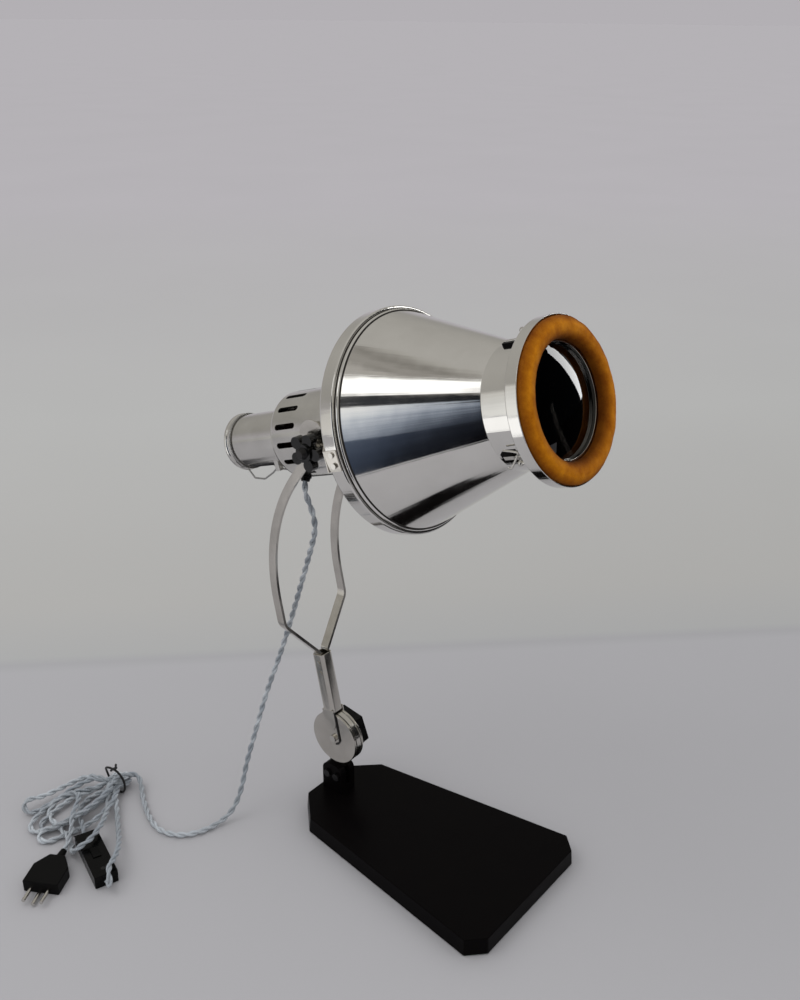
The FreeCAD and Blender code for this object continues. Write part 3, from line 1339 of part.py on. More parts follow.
cord_base = upper_tube.cut(joint_drum(pivot_x, pivot_z, head_reach + 20)).common(
    joint_drum(joint_x, joint_z, stem_reach - half_gap))

hank_turn = math.radians(HANK_TURN)
along = Vector(math.cos(hank_turn), math.sin(hank_turn), 0)
across = Vector(-math.sin(hank_turn), math.cos(hank_turn), 0)


def on_floor(distance, offset, height=0.0):
    """A point beside the hank's tie, along the hank and across it."""
    return Vector(HANK_TIE[0], HANK_TIE[1], height) + along * distance + across * offset


def floor_slab(outline, height):
    """A slab on the floor."""
    corners = [on_floor(distance, offset) for distance, offset in outline]
    return Part.Face(Part.makePolygon(corners + corners[:1])).extrude(Vector(0, 0, height))


fan = floor_slab(HANK_OUTLINE, value("hank_height"))
waist = floor_slab([(-WAIST_END, -9), (WAIST_END, -13), (WAIST_END, 13), (-WAIST_END, 9)],
                   value("waist_height"))
hank = fan.fuse(waist).removeSplitter()
tie_half = value("tie_width") / 2
tie_out = value("tie_thickness")
tie_reach = value("tie_reach")
tie_top = value("waist_height")
tie_hole = floor_slab([(-tie_half - 1, -tie_reach), (tie_half + 1, -tie_reach),
                       (tie_half + 1, tie_reach), (-tie_half - 1, tie_reach)], tie_top)
tie_loop = floor_slab([(-tie_half, -tie_reach - tie_out), (tie_half, -tie_reach - tie_out),
                       (tie_half, tie_reach + tie_out), (-tie_half, tie_reach + tie_out)],
                      tie_top + tie_out).cut(tie_hole)
tie_tail = Part.makeBox(tie_half, tie_half, value("tie_tail"), on_floor(0, 0, tie_top + tie_out))
tie = tie_loop.fuse(tie_tail).removeSplitter()

lower_cord = cord_base.fuse(lower_tube).cut(hank).cut(tie)
switch_ends = [[in_frame("switch_frame", side * (value("switch_length") / 2 + run), 0,
                         value("switch_split")) for run in (0, LEAD)] for side in (1, -1)]
relief_ends = [in_frame("plug_frame", value("plug_length + relief_length") + run, 0,
                        value("plug_height") / 2) for run in (0, RELIEF_LEAD)]
strands = {
    "cord_to_switch": SWITCH_STRAND + tuple(reversed(switch_ends[0])),
    "cord_over_switch": OVER_STRAND,
    "cord_from_switch": tuple(switch_ends[1]) + BACK_STRAND,
    "cord_to_plug": tuple(relief_ends) + PLUG_STRAND,
}
keep("cord_head", fixed_shape("cord_head", cord_head))
keep("cord_stem", fixed_shape("cord_stem", cord_stem))
keep("cord_base", fixed_shape("cord_base", lower_cord))
for name, points in strands.items():
    strand = cord_tube(name, points).cut(hank).cut(tie)
    pieces = sorted(strand.Solids, key=lambda solid: solid.Volume)
    keep(name, fixed_shape(name, pieces[-1]))
keep("cord_hank", fixed_shape("cord_hank", hank))
keep("cable_tie", fixed_shape("cable_tie", tie))

# ---------------------------------------------------------------- check and write
doc.recompute()
for item in doc.Objects:
    if "Invalid" in item.State or "Error" in item.State:
        raise RuntimeError("%s is %s" % (item.Label, item.State))
for label, item in nodes.items():
    shape = item.Shape
    if shape.isNull() or not shape.isValid() or not shape.Solids:
        raise RuntimeError(label + " has no valid solid")
os.makedirs("parts", exist_ok=True)
for label, item in nodes.items():
    item.Shape.exportStep(os.path.join("parts", label + ".step"))
print(len(nodes), "nodes")
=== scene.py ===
import json
import math
import bmesh
import bpy
from mathutils import Matrix, Vector, noise
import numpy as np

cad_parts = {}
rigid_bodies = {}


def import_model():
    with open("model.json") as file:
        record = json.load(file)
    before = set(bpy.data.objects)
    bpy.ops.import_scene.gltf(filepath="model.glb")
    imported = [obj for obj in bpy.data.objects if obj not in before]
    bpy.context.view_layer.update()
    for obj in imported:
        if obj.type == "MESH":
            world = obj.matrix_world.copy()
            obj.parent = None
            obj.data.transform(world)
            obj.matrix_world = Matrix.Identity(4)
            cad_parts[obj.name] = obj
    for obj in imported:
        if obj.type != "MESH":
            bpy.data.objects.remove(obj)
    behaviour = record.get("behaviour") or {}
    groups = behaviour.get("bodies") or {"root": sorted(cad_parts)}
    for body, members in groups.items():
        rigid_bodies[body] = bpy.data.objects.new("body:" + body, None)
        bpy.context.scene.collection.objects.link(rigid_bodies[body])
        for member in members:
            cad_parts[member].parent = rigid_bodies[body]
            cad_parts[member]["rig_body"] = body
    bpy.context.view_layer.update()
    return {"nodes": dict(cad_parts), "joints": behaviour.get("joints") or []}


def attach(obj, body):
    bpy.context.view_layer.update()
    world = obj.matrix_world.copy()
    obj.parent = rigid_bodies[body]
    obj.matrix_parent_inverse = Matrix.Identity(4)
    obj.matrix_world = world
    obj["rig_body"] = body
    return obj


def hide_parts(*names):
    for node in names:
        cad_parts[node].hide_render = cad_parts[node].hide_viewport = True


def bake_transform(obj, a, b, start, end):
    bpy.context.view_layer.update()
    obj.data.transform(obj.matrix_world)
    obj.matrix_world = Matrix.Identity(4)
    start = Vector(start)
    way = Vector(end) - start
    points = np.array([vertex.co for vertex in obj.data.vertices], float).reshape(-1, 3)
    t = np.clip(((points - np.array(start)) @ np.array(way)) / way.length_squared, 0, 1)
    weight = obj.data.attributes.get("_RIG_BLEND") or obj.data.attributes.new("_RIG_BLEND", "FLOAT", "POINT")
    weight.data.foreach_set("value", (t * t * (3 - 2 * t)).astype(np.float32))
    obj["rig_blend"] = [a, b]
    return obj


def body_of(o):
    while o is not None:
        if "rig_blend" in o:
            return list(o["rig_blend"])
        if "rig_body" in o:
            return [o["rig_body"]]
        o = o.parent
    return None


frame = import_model()
scene = bpy.context.scene
scene.view_settings.view_transform = "Standard"

# ---------------------------------------------------------------- the camera
# The lamp stands on a table and is looked down on from its front right-hand corner,
# a little above the head.
def placed(name, data):
    """An object that holds that mesh, curve, lamp or camera, linked into the scene."""
    made = bpy.data.objects.new(name, data)
    scene.collection.objects.link(made)
    return made


view_data = bpy.data.cameras.new("table_view")
view_data.lens = 38.97
view_camera = placed("table_view", view_data)
view_camera.matrix_world = (
    Matrix.Translation((0.55662, -0.73737, 0.82568))
    @ Matrix.Rotation(math.radians(38.73), 4, "Z")
    @ Matrix.Rotation(math.radians(65.9), 4, "X")
    @ Matrix.Rotation(math.radians(0.47), 4, "Z")
)
scene.camera = view_camera


# ---------------------------------------------------------------- the paper sweep
# A wide sheet of pale grey background paper, matt and nearly even. It lies flat, 300 m
# across so that no edge shows. The shade of a sweep bending up behind the lamp is painted on it in tones:
# darker towards a soft crease, a painted dark line at the crease, and lighter beyond it.
def linear(code):
    """The linear colour of an sRGB hex value, with a full alpha."""
    shares = [int(code[place:place + 2], 16) / 255 for place in (1, 3, 5)]
    return tuple(
        share / 12.92 if share <= 0.04045 else ((share + 0.055) / 1.055) ** 2.4 for share in shares
    ) + (1.0,)


def add_node(tree, kind, inputs=None, **settings):
    """A node with its settings, its inputs given as values or as another node's output."""
    made = tree.nodes.new(kind)
    for key, setting in settings.items():
        setattr(made, key, setting)
    for key, given in (inputs or {}).items():
        if isinstance(given, bpy.types.NodeSocket):
            tree.links.new(given, made.inputs[key])
        else:
            made.inputs[key].default_value = given
    return made


def new_finish(name, **inputs):
    """A material, its node tree, its shader with the inputs given, and Object coordinates."""
    made = bpy.data.materials.new(name)
    made.use_nodes = True
    tree = made.node_tree
    tree.nodes.clear()
    shader = add_node(tree, "ShaderNodeBsdfPrincipled", {
        key.replace("_", " "): value for key, value in inputs.items()})
    add_node(tree, "ShaderNodeOutputMaterial", {"Surface": shader.outputs["BSDF"]})
    place = add_node(tree, "ShaderNodeTexCoord").outputs["Object"]
    return made, tree, shader, place


def feed(shader, **outputs):
    """Joins other nodes' outputs to a shader's inputs."""
    for key, output in outputs.items():
        shader.id_data.links.new(output, shader.inputs[key.replace("_", " ")])


def mesh_of(bm, name, finish):
    """The mesh that a bmesh has made, with its name and its finish."""
    mesh = bpy.data.meshes.new(name)
    bm.to_mesh(mesh)
    bm.free()
    mesh.materials.append(finish)
    return mesh


def flat_sheet(name, middle, across, up, finish):
    """A flat rectangle round a middle point, with its half width and half height as vectors."""
    bm = bmesh.new()
    bmesh.ops.create_grid(bm, x_segments=1, y_segments=1, size=1)
    across, up = Vector(across), Vector(up)
    turn = Matrix((across, up, across.cross(up).normalized())).transposed().to_4x4()
    bmesh.ops.transform(bm, matrix=Matrix.Translation(middle) @ turn, verts=bm.verts)
    sheet = placed(name, mesh_of(bm, name, finish))
    return sheet


# Background paper: unglazed wood pulp, so it is fully matt with a very faint mottle.
paper, tree, shader, place = new_finish("background_paper", Roughness=0.95, Specular_IOR_Level=0.0)
BACKWARDS = (-0.702, 0.712, 0.0)
SWEEP_SHADE_START = -0.5916
SWEEP_SHADE_RUN = 5.0
backwards = add_node(tree, "ShaderNodeVectorMath", {0: place, 1: BACKWARDS}, operation="DOT_PRODUCT")
share = add_node(tree, "ShaderNodeMapRange", {
    "Value": backwards.outputs["Value"], "From Min": SWEEP_SHADE_START, "From Max": SWEEP_SHADE_START + SWEEP_SHADE_RUN})
# Painted shade and light of the sweep: the tones dip darker towards the crease and in a thin line at it, then
# grow lighter beyond it.
tones = add_node(tree, "ShaderNodeValToRGB", {"Fac": share.outputs["Result"]})
tones.color_ramp.elements[0].color = linear("#aeadb0")
tones.color_ramp.elements[1].color = linear("#bbb8bc")
for position, tone in ((0.15, "#a6a5a8"), (0.197, "#a7a6a9"), (0.2, "#a0a0a2"), (0.2025, "#a7a7a7"),
                       (0.232, "#acaba9"), (0.4, "#b5b5b4")):
    tones.color_ramp.elements.new(position).color = linear(tone)
mottle = add_node(tree, "ShaderNodeTexNoise", {"Vector": place, "Scale": 1000 / 600, "Detail": 2.0})
mottled = add_node(tree, "ShaderNodeMapRange", {
    "Value": mottle.outputs["Fac"], "To Min": 0.975, "To Max": 1.02})
paper_colour = add_node(tree, "ShaderNodeVectorMath", {
    0: tones.outputs["Color"], "Scale": mottled.outputs["Result"]}, operation="SCALE")
feed(shader, Base_Color=paper_colour.outputs["Vector"])
PAPER_HALF = 150
flat_sheet("paper_sweep", (0.3, 0.4, 0.0), (PAPER_HALF, 0, 0), (0, PAPER_HALF, 0), paper)

# ---------------------------------------------------------------- the studio light
# Plain soft light from all round, one large soft lamp overhead, and a few cards that only
# polished metal and glass see.
world = bpy.data.worlds.new("soft_room")
scene.world = world
world.use_nodes = True
tree = world.node_tree
tree.nodes.clear()
ray = add_node(tree, "ShaderNodeLightPath")
seen = add_node(tree, "ShaderNodeMath", {
    0: ray.outputs["Is Camera Ray"], 1: ray.outputs["Is Glossy Ray"]}, operation="MAXIMUM")
seen = add_node(tree, "ShaderNodeMath", {
    0: seen.outputs["Value"], 1: ray.outputs["Is Transmission Ray"]}, operation="MAXIMUM")
direction = add_node(tree, "ShaderNodeTexCoord")
height = add_node(tree, "ShaderNodeSeparateXYZ", {"Vector": direction.outputs["Generated"]})
room_tones = add_node(tree, "ShaderNodeValToRGB", {"Fac": height.outputs["Z"]})
room_tones.color_ramp.elements[0].color = linear("#b3b0b4")
room_tones.color_ramp.elements[1].color = linear("#b6b4b0")
for position, tone in ((0.02, "#b3b0b4"), (0.22, "#9c9a96"), (0.45, "#a7a5a0")):
    room_tones.color_ramp.elements.new(position).color = linear(tone)
shown = add_node(tree, "ShaderNodeBackground", {"Color": room_tones.outputs["Color"]})
lighting = add_node(tree, "ShaderNodeBackground", {"Color": linear("#ffffff"), "Strength": 0.93})
room = add_node(tree, "ShaderNodeMixShader", {
    "Fac": seen.outputs["Value"], 1: lighting.outputs["Background"], 2: shown.outputs["Background"]})
add_node(tree, "ShaderNodeOutputWorld", {"Surface": room.outputs["Shader"]})

lamp_data = bpy.data.lights.new("soft_lamp", "AREA")
lamp_data.size = 1.5
lamp_data.energy = 9
soft_lamp = placed("soft_lamp", lamp_data)
aimed = Vector((-0.9, -0.9, 2.0)).to_track_quat("Z", "Y").to_matrix().to_4x4()
soft_lamp.matrix_world = Matrix.Translation((-0.9, -0.9, 2.1)) @ aimed
soft_lamp.visible_glossy = False


def studio_card(name, middle, across, up, tones, strength=1.0, upright=False):
    """A glowing card that only metal and glass see, its tones running across or up it."""
    made = bpy.data.materials.new(name)
    made.use_nodes = True
    tree = made.node_tree
    tree.nodes.clear()
    place = add_node(tree, "ShaderNodeTexCoord")
    run = Vector(up if upright else across)
    along = add_node(tree, "ShaderNodeVectorMath", {
        0: place.outputs["Object"], 1: tuple(run / run.length_squared)}, operation="DOT_PRODUCT")
    centre = Vector(middle).dot(run) / run.length_squared
    share = add_node(tree, "ShaderNodeMapRange", {
        "Value": along.outputs["Value"], "From Min": centre - 1, "From Max": centre + 1})
    ramp = add_node(tree, "ShaderNodeValToRGB", {"Fac": share.outputs["Result"]})
    ramp.color_ramp.elements[0].color = linear(tones[0])
    ramp.color_ramp.elements[1].color = linear(tones[-1])
    for number, tone in enumerate(tones[1:-1], 1):
        ramp.color_ramp.elements.new(number / (len(tones) - 1)).color = linear(tone)
    glow = add_node(tree, "ShaderNodeEmission", {"Color": ramp.outputs["Color"], "Strength": strength})
    add_node(tree, "ShaderNodeOutputMaterial", {"Surface": glow.outputs["Emission"]})
    card = flat_sheet(name, middle, across, up, made)
    card.visible_camera = card.visible_diffuse = card.visible_shadow = False


# A wide white window that fades to night on its right, a dark rail above it, and a bright
# blind above that. Then what is low in the room, the beamed ceiling, the blind that the
# glass shows, the dark door and skirting behind, the dark floor and the pale table.
studio_card("window", (-1.60, -2.2, 0.82), (1.15, 0, 0), (0, 0, 0.80), (
    "#c9c7c3", "#d2d0cc", "#dcdcda", "#f4f4f2", "#f4f4f2", "#f6f7f8"))
studio_card("window_fade", (0.15, -2.2, 0.82), (0.60, 0, 0), (0, 0, 0.80), (
    "#f4f6f8", "#c4cbd6", "#87909f", "#3b424f", "#15181d", "#0c0d0f", "#0a0a0b"))
studio_card("night_side", (1.25, -2.2, 0.82), (0.50, 0, 0), (0, 0, 0.80), ("#0c0c0e", "#1a1b1f"))
studio_card("window_rail", (-0.45, -2.3, 1.90), (1.2, 0, 0), (0, 0, 0.34), (
    "#7d7a75", "#605e5b", "#2c2e32", "#181a1e", "#1c1f24", "#2c3038"))
studio_card("bright_blind", (-0.93, -2.2, 3.02), (0.50, 0, 0.12), (-0.13, 0, 0.78), (
    "#b5b3ae", "#ffffff", "#ffffff", "#ffffff", "#ffffff", "#a8a6a2"), 1.5)
studio_card("low_dark_card", (0.26, -0.80, 0.24), (0.38, 0, 0), (0, 0, 0.24), (
    "#6a7688", "#3d4657", "#1c2028", "#0c0c0f", "#0c0c0f", "#0e0e11", "#101014"))
studio_card("ceiling_beam", (-1.28, -0.83, 3.13), (0.42, -0.73, 0), (0.223, 0.129, 0.155), (
    "#a19e99", "#b8b5b0", "#8d8a85", "#a29f9a", "#84817c", "#989590", "#b6b4ae"), upright=True)
studio_card("glass_blind", (0.735, 1.5, 0.77), (0.080, 0, -0.038), (0.250, 0, 0.56), (
    "#ffffff", "#ffffff"), 6.0)
studio_card("dark_doorway", (2.2, 2.1, 1.06), (-0.92, 0.92, 0), (0, 0, 1.1), ("#101113", "#16181b"))
studio_card("dark_skirting", (0.75, 1.25, 0.22), (-0.55, 0.30, 0), (0, 0, 0.22), ("#0d0d0e", "#141416"))
studio_card("dark_floor_left", (-0.72, 0.30, 0.003), (0.28, 0, 0), (0, 0.40, 0), ("#141416", "#232326"))
studio_card("dark_floor_right", (0.62, 0.45, 0.003), (0.32, 0, 0), (0, 0.35, 0), ("#1a1a1c", "#2a2a2d"))
studio_card("bright_table", (-0.80, -1.385, 0.004), (0.25, -0.17, 0), (-0.45, -0.665, 0), (
    "#ffffff", "#ffffff"), 1.15)

# ---------------------------------------------------------------- the twisted flex
# Two cotton-braided wires laid up in a twist, 6.2 mm across. The flex hangs from the gland,
# curves down to the table and comes to a loose hank that a black tie holds.
STRAND_RADIUS = 0.00158
STRAND_REACH = 0.00152


def round_wire(name, radius=0.0):
    """An empty curve that sweeps a round section along its lines."""
    curve = bpy.data.curves.new(name, "CURVE")
    curve.dimensions = "3D"
    curve.bevel_depth = radius
    curve.bevel_resolution = 3
    curve.use_fill_caps = True
    return curve


def smooth_line(curve, points, closed=False):
    """Adds a smooth line to a curve, with those control points in metres."""
    spline = curve.splines.new("NURBS")
    spline.points.add(len(points) - 1)
    for control, point in zip(spline.points, points):
        control.co = (*point, 1)
    spline.order_u = 3
    spline.use_cyclic_u = closed
    spline.use_endpoint_u = not closed


def mesh_from(curve):
    """The mesh that a curve shows as."""
    holder = placed("holder", curve)
    mesh = bpy.data.meshes.new_from_object(holder)
    bpy.data.objects.remove(holder)
    return mesh


def routed(name, points):
    """The smooth line of a flex through its control points, as a list of points on it."""
    curve = round_wire(name)
    curve.resolution_u = 14
    smooth_line(curve, points)
    return [vertex.co.copy() for vertex in mesh_from(curve).vertices]


def laid_up(line, lay=0.025):
    """The paths of two wires twisted round a line, one whole turn in each lay."""
    wires = ([], [])
    side = Vector((0, 0, 1))
    turned = 0.0
    for number, point in enumerate(line):
        ahead = (line[min(number + 1, len(line) - 1)] - line[max(number - 1, 0)]).normalized()
        side = (side - ahead * side.dot(ahead)).normalized()
        if number:
            turned += (point - line[number - 1]).length / lay * math.tau
        reach = Matrix.Rotation(turned, 3, ahead) @ side * STRAND_REACH
        wires[0].append(point + reach)
        wires[1].append(point - reach)
    return wires


def flex_piece(name, wires, first, last):
    """The stretch of a twisted pair between two of its points, as one mesh."""
    curve = round_wire(name, STRAND_RADIUS)
    for wire in wires:
        path = wire[first:last + 1]
        reach = sum((after - before).length for before, after in zip(path, path[1:]))
        spline = curve.splines.new("POLY")
        spline.points.add(len(path) - 1)
        for control, point in zip(spline.points, path):
            control.co = (*point, 1)
    mesh = mesh_from(curve)
    for corner in mesh.uv_layers[0].data:
        corner.uv = (corner.uv.x * math.tau * STRAND_RADIUS, corner.uv.y * reach)
    mesh.materials.append(braid)
    mesh.shade_smooth()
    piece = placed(name, mesh)
    return piece


# Cotton braid over rubber: pale blue-grey thread crossing in a fine diagonal, matt and a
# little fuzzy. The real picks are 0.8 mm; they are drawn at 1.3 mm so that they show.
PICK = 1.3
braid, tree, shader, place = new_finish(
    "cotton_braid", Roughness=0.86, Sheen_Weight=0.25, Sheen_Roughness=0.5)
wound = add_node(tree, "ShaderNodeUVMap", uv_map="UVMap")
crossed = add_node(tree, "ShaderNodeMapping", {
    "Vector": wound.outputs["UV"], "Rotation": (0, 0, math.radians(45)),
    "Scale": (1000 / PICK, 1000 / PICK, 1)})
picks = add_node(tree, "ShaderNodeTexChecker", {"Vector": crossed.outputs["Vector"], "Scale": 1.0})
soiled = add_node(tree, "ShaderNodeTexNoise", {"Vector": place, "Scale": 1000 / 18, "Detail": 3.0})
thread = add_node(tree, "ShaderNodeMix", {
    "Factor": picks.outputs["Fac"], 6: linear("#b9bfc5"), 7: linear("#8b929a")}, data_type="RGBA")
dulled = add_node(tree, "ShaderNodeMapRange", {
    "Value": soiled.outputs["Fac"], "From Min": 0.3, "From Max": 0.7, "To Min": 0.78, "To Max": 1.0})
thread = add_node(tree, "ShaderNodeVectorMath", {
    0: thread.outputs[2], "Scale": dulled.outputs["Result"]}, operation="SCALE")
raised = add_node(tree, "ShaderNodeBump", {
    "Height": picks.outputs["Fac"], "Distance": 0.00015, "Strength": 0.7})
feed(shader, Base_Color=thread.outputs["Vector"], Normal=raised.outputs["Normal"])

supply_line = routed("supply_line", [
    (-0.1366, -0.0238, 0.4024), (-0.1338, -0.0286, 0.3941), (-0.1238, -0.0306, 0.3810),
    (-0.1198, -0.0296, 0.3670), (-0.1212, -0.0282, 0.3520), (-0.1270, -0.0271, 0.3356),
    (-0.1346, -0.0263, 0.3145), (-0.1460, -0.0265, 0.2810), (-0.1585, -0.0285, 0.2400),
    (-0.1720, -0.0340, 0.1930), (-0.1855, -0.0450, 0.1430), (-0.1900, -0.0600, 0.0980),
    (-0.1925, -0.0740, 0.0620), (-0.1895, -0.0870, 0.0320), (-0.1905, -0.1010, 0.0110),
    (-0.1945, -0.1200, 0.0034), (-0.2005, -0.1440, 0.0034), (-0.2145, -0.1610, 0.0034),
    (-0.2370, -0.1685, 0.0034), (-0.2620, -0.1615, 0.0034), (-0.2910, -0.1465, 0.0034),
    (-0.3110, -0.1325, 0.0065), (-0.3210, -0.1285, 0.0120), (-0.3275, -0.1360, 0.0155),
    (-0.3310, -0.1500, 0.0165),
    # the first turn of the hank, the longest and highest
    (-0.3375, -0.1600, 0.0160), (-0.3569, -0.1640, 0.0150), (-0.3670, -0.1715, 0.0120),
    (-0.3721, -0.1868, 0.0100), (-0.3747, -0.2054, 0.0095), (-0.3781, -0.2234, 0.0097),
    (-0.3814, -0.2367, 0.0143), (-0.3791, -0.2443, 0.0092), (-0.3703, -0.2439, 0.0043),
    (-0.3649, -0.2320, 0.0045), (-0.3629, -0.2139, 0.0075), (-0.3581, -0.1970, 0.0085),
    (-0.3498, -0.1823, 0.0100), (-0.3400, -0.1700, 0.0110), (-0.3412, -0.1524, 0.0110),
    (-0.3406, -0.1430, 0.0107), (-0.3359, -0.1372, 0.0124), (-0.3290, -0.1376, 0.0145),
    (-0.3245, -0.1441, 0.0152),
    # the second turn, round the outside of the fan
    (-0.3278, -0.1539, 0.0131), (-0.3380, -0.1590, 0.0130), (-0.3549, -0.1640, 0.0130),
    (-0.3602, -0.1759, 0.0115), (-0.3624, -0.1937, 0.0100), (-0.3613, -0.2123, 0.0080),
    (-0.3604, -0.2290, 0.0065), (-0.3572, -0.2443, 0.0055), (-0.3513, -0.2549, 0.0045),
    (-0.3417, -0.2585, 0.0040), (-0.3347, -0.2521, 0.0040), (-0.3275, -0.2402, 0.0050),
    (-0.3217, -0.2259, 0.0070), (-0.3184, -0.2081, 0.0090), (-0.3179, -0.1893, 0.0105),
    (-0.3196, -0.1729, 0.0105), (-0.3262, -0.1564, 0.0095),
    (-0.3237, -0.1456, 0.0085), (-0.3251, -0.1381, 0.0066), (-0.3312, -0.1349, 0.0055),
    (-0.3379, -0.1379, 0.0049), (-0.3398, -0.1458, 0.0049), (-0.3340, -0.1570, 0.0065),
    # out over the table to the far end of the switch
    (-0.3180, -0.1635, 0.0100), (-0.3005, -0.1760, 0.0095), (-0.2815, -0.1892, 0.0065),
    (-0.2605, -0.2038, 0.0090), (-0.2390, -0.2190, 0.0155), (-0.2240, -0.2355, 0.0202),
    (-0.2164, -0.2486, 0.0228), (-0.2065, -0.2566, 0.0232), (-0.2026, -0.2588, 0.0146),
    (-0.2083, -0.2567, 0.0064), (-0.2162, -0.2536, 0.0075),
])
supply_wires = laid_up(supply_line)

# One line, cut where it is 205 mm from the pivot of the head and again at the height of the
# knee, so that each stretch bends with the two bodies that it joins.
HEAD_STRETCH = 0.205
KNEE_HEIGHT = 0.085
joints = {joint["name"]: joint for joint in frame["joints"]}
pivot = Vector(joints["head_tilt"]["pos_m"])
past_head = next(number for number, point in enumerate(supply_line)
                 if math.hypot(point.x - pivot.x, point.z - pivot.z) > HEAD_STRETCH)
past_stem = next(number for number, point in enumerate(supply_line) if point.z < KNEE_HEIGHT)
upper_flex = flex_piece("upper_flex", supply_wires, 0, past_head)
middle_flex = flex_piece("middle_flex", supply_wires, past_head, past_stem)
table_flex = flex_piece("table_flex", supply_wires, past_stem, len(supply_line) - 1)
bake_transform(upper_flex, "head", "arm", start=(-0.1270, -0.0300, 0.3850), end=(-0.1500, -0.0270, 0.2700))
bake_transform(middle_flex, "arm", "base", start=(-0.1740, -0.0360, 0.1850), end=(-0.1920, -0.0700, 0.0870))
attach(table_flex, "base")
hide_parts("cord_head")
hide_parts("cord_stem")
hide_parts("cord_base", "cord_hank", "cord_to_switch")

# ---------------------------------------------------------------- the plug lead
# The same twisted flex from the near end of the in-line switch: back through the hank for
# one more turn, out over the switch, and into the plug.
plug_line = routed("plug_line", [
    (-0.2848, -0.2286, 0.0075), (-0.2942, -0.2252, 0.0075), (-0.3050, -0.2185, 0.0070),
    (-0.3210, -0.2120, 0.0055), (-0.3340, -0.2020, 0.0045), (-0.3400, -0.1880, 0.0040),
    (-0.3390, -0.1740, 0.0045), (-0.3350, -0.1600, 0.0045), (-0.3330, -0.1480, 0.0045),
    (-0.3356, -0.1395, 0.0040), (-0.3326, -0.1337, 0.0076), (-0.3270, -0.1339, 0.0129),
    (-0.3248, -0.1414, 0.0179), (-0.3290, -0.1530, 0.0195),
    # one turn out along the near side of the fan and back
    (-0.3215, -0.1650, 0.0200), (-0.3154, -0.1806, 0.0190), (-0.3141, -0.1941, 0.0170),
    (-0.3141, -0.2105, 0.0150), (-0.3177, -0.2253, 0.0130), (-0.3223, -0.2393, 0.0100),
    (-0.3313, -0.2507, 0.0078), (-0.3287, -0.2592, 0.0054), (-0.3203, -0.2608, 0.0034),
    (-0.3135, -0.2531, 0.0034), (-0.3108, -0.2367, 0.0035), (-0.3041, -0.2230, 0.0050),
    (-0.3000, -0.2084, 0.0080), (-0.3006, -0.1926, 0.0110), (-0.3043, -0.1785, 0.0125),
    (-0.3130, -0.1680, 0.0115), (-0.3239, -0.1548, 0.0100), (-0.3282, -0.1429, 0.0106),
    (-0.3360, -0.1403, 0.0104), (-0.3423, -0.1451, 0.0095), (-0.3426, -0.1569, 0.0085),
    # a shorter turn through the middle of the fan
    (-0.3436, -0.1708, 0.0070), (-0.3490, -0.1851, 0.0065), (-0.3525, -0.2016, 0.0062),
    (-0.3515, -0.2174, 0.0058), (-0.3490, -0.2311, 0.0050), (-0.3470, -0.2427, 0.0042),
    (-0.3403, -0.2483, 0.0035), (-0.3323, -0.2457, 0.0034), (-0.3285, -0.2342, 0.0040),
    (-0.3260, -0.2197, 0.0050), (-0.3245, -0.2042, 0.0060), (-0.3262, -0.1856, 0.0062),
    (-0.3285, -0.1695, 0.0060), (-0.3275, -0.1550, 0.0055), (-0.3282, -0.1413, 0.0056),
    (-0.3358, -0.1365, 0.0079), (-0.3434, -0.1413, 0.0113), (-0.3416, -0.1530, 0.0132),
    (-0.3290, -0.1650, 0.0120),
    # over the switch and round to the plug
    (-0.3160, -0.1760, 0.0100), (-0.3000, -0.1875, 0.0140), (-0.2835, -0.2035, 0.0190),
    (-0.2715, -0.2205, 0.0215), (-0.2645, -0.2355, 0.0220), (-0.2650, -0.2465, 0.0205),
    (-0.2710, -0.2540, 0.0145), (-0.2785, -0.2515, 0.0078), (-0.2868, -0.2452, 0.0038),
    (-0.2970, -0.2405, 0.0034), (-0.3100, -0.2380, 0.0034), (-0.3260, -0.2345, 0.0050),
    (-0.3430, -0.2345, 0.0050), (-0.3560, -0.2270, 0.0060), (-0.3615, -0.2140, 0.0080),
    (-0.3585, -0.2010, 0.0110), (-0.3490, -0.1940, 0.0135), (-0.3390, -0.1965, 0.0150),
    (-0.3300, -0.2070, 0.0155), (-0.3205, -0.2190, 0.0155), (-0.3115, -0.2275, 0.0150),
    (-0.3000, -0.2350, 0.0147),
    (-0.2938, -0.2438, 0.0108), (-0.2900, -0.2501, 0.0070), (-0.2868, -0.2557, 0.0070),
])
plug_flex = flex_piece("plug_flex", laid_up(plug_line), 0, len(plug_line) - 1)
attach(plug_flex, "base")
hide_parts("cord_over_switch", "cord_from_switch", "cord_to_plug")

# ---------------------------------------------------------------- the base
# A heavy wedge-shaped casting of iron, planed flat underneath, stoved in black enamel, with
# a square lug for the knee joint and a green felt sole.


def dress(finish, *nodes):
    """Puts a finish on the object's own solids."""
    for node in nodes:
        for slot in frame["nodes"][node].material_slots:
            slot.material = finish


def round_edges(piece, width, segments, limit):
    """Rounds a piece's edges that turn by more than the limit in degrees, by a width in mm."""
    edge = piece.modifiers.new("rounded_edges", "BEVEL")
    edge.width = width / 1000
    edge.segments = segments
    edge.limit_method = "ANGLE"
    edge.angle_limit = math.radians(limit)
    edge.harden_normals = True


def softened(node, width, finish, segments=2):
    """A copy of one of the object's solids with its edges rounded by that width in mm."""
    bm = bmesh.new()
    bm.from_mesh(frame["nodes"][node].data)
    bmesh.ops.remove_doubles(bm, verts=bm.verts, dist=1e-6)
    bmesh.ops.dissolve_limit(bm, angle_limit=math.radians(0.4), verts=bm.verts, edges=bm.edges)
    mesh = mesh_of(bm, node + "_finished", finish)
    if "custom_normal" in mesh.attributes:
        mesh.attributes.remove(mesh.attributes["custom_normal"])
    mesh.shade_smooth()
    piece = placed(node + "_finished", mesh)
    round_edges(piece, width, segments, limit=28)
    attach(piece, body_of(frame["nodes"][node])[0])
    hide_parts(node)
    return piece


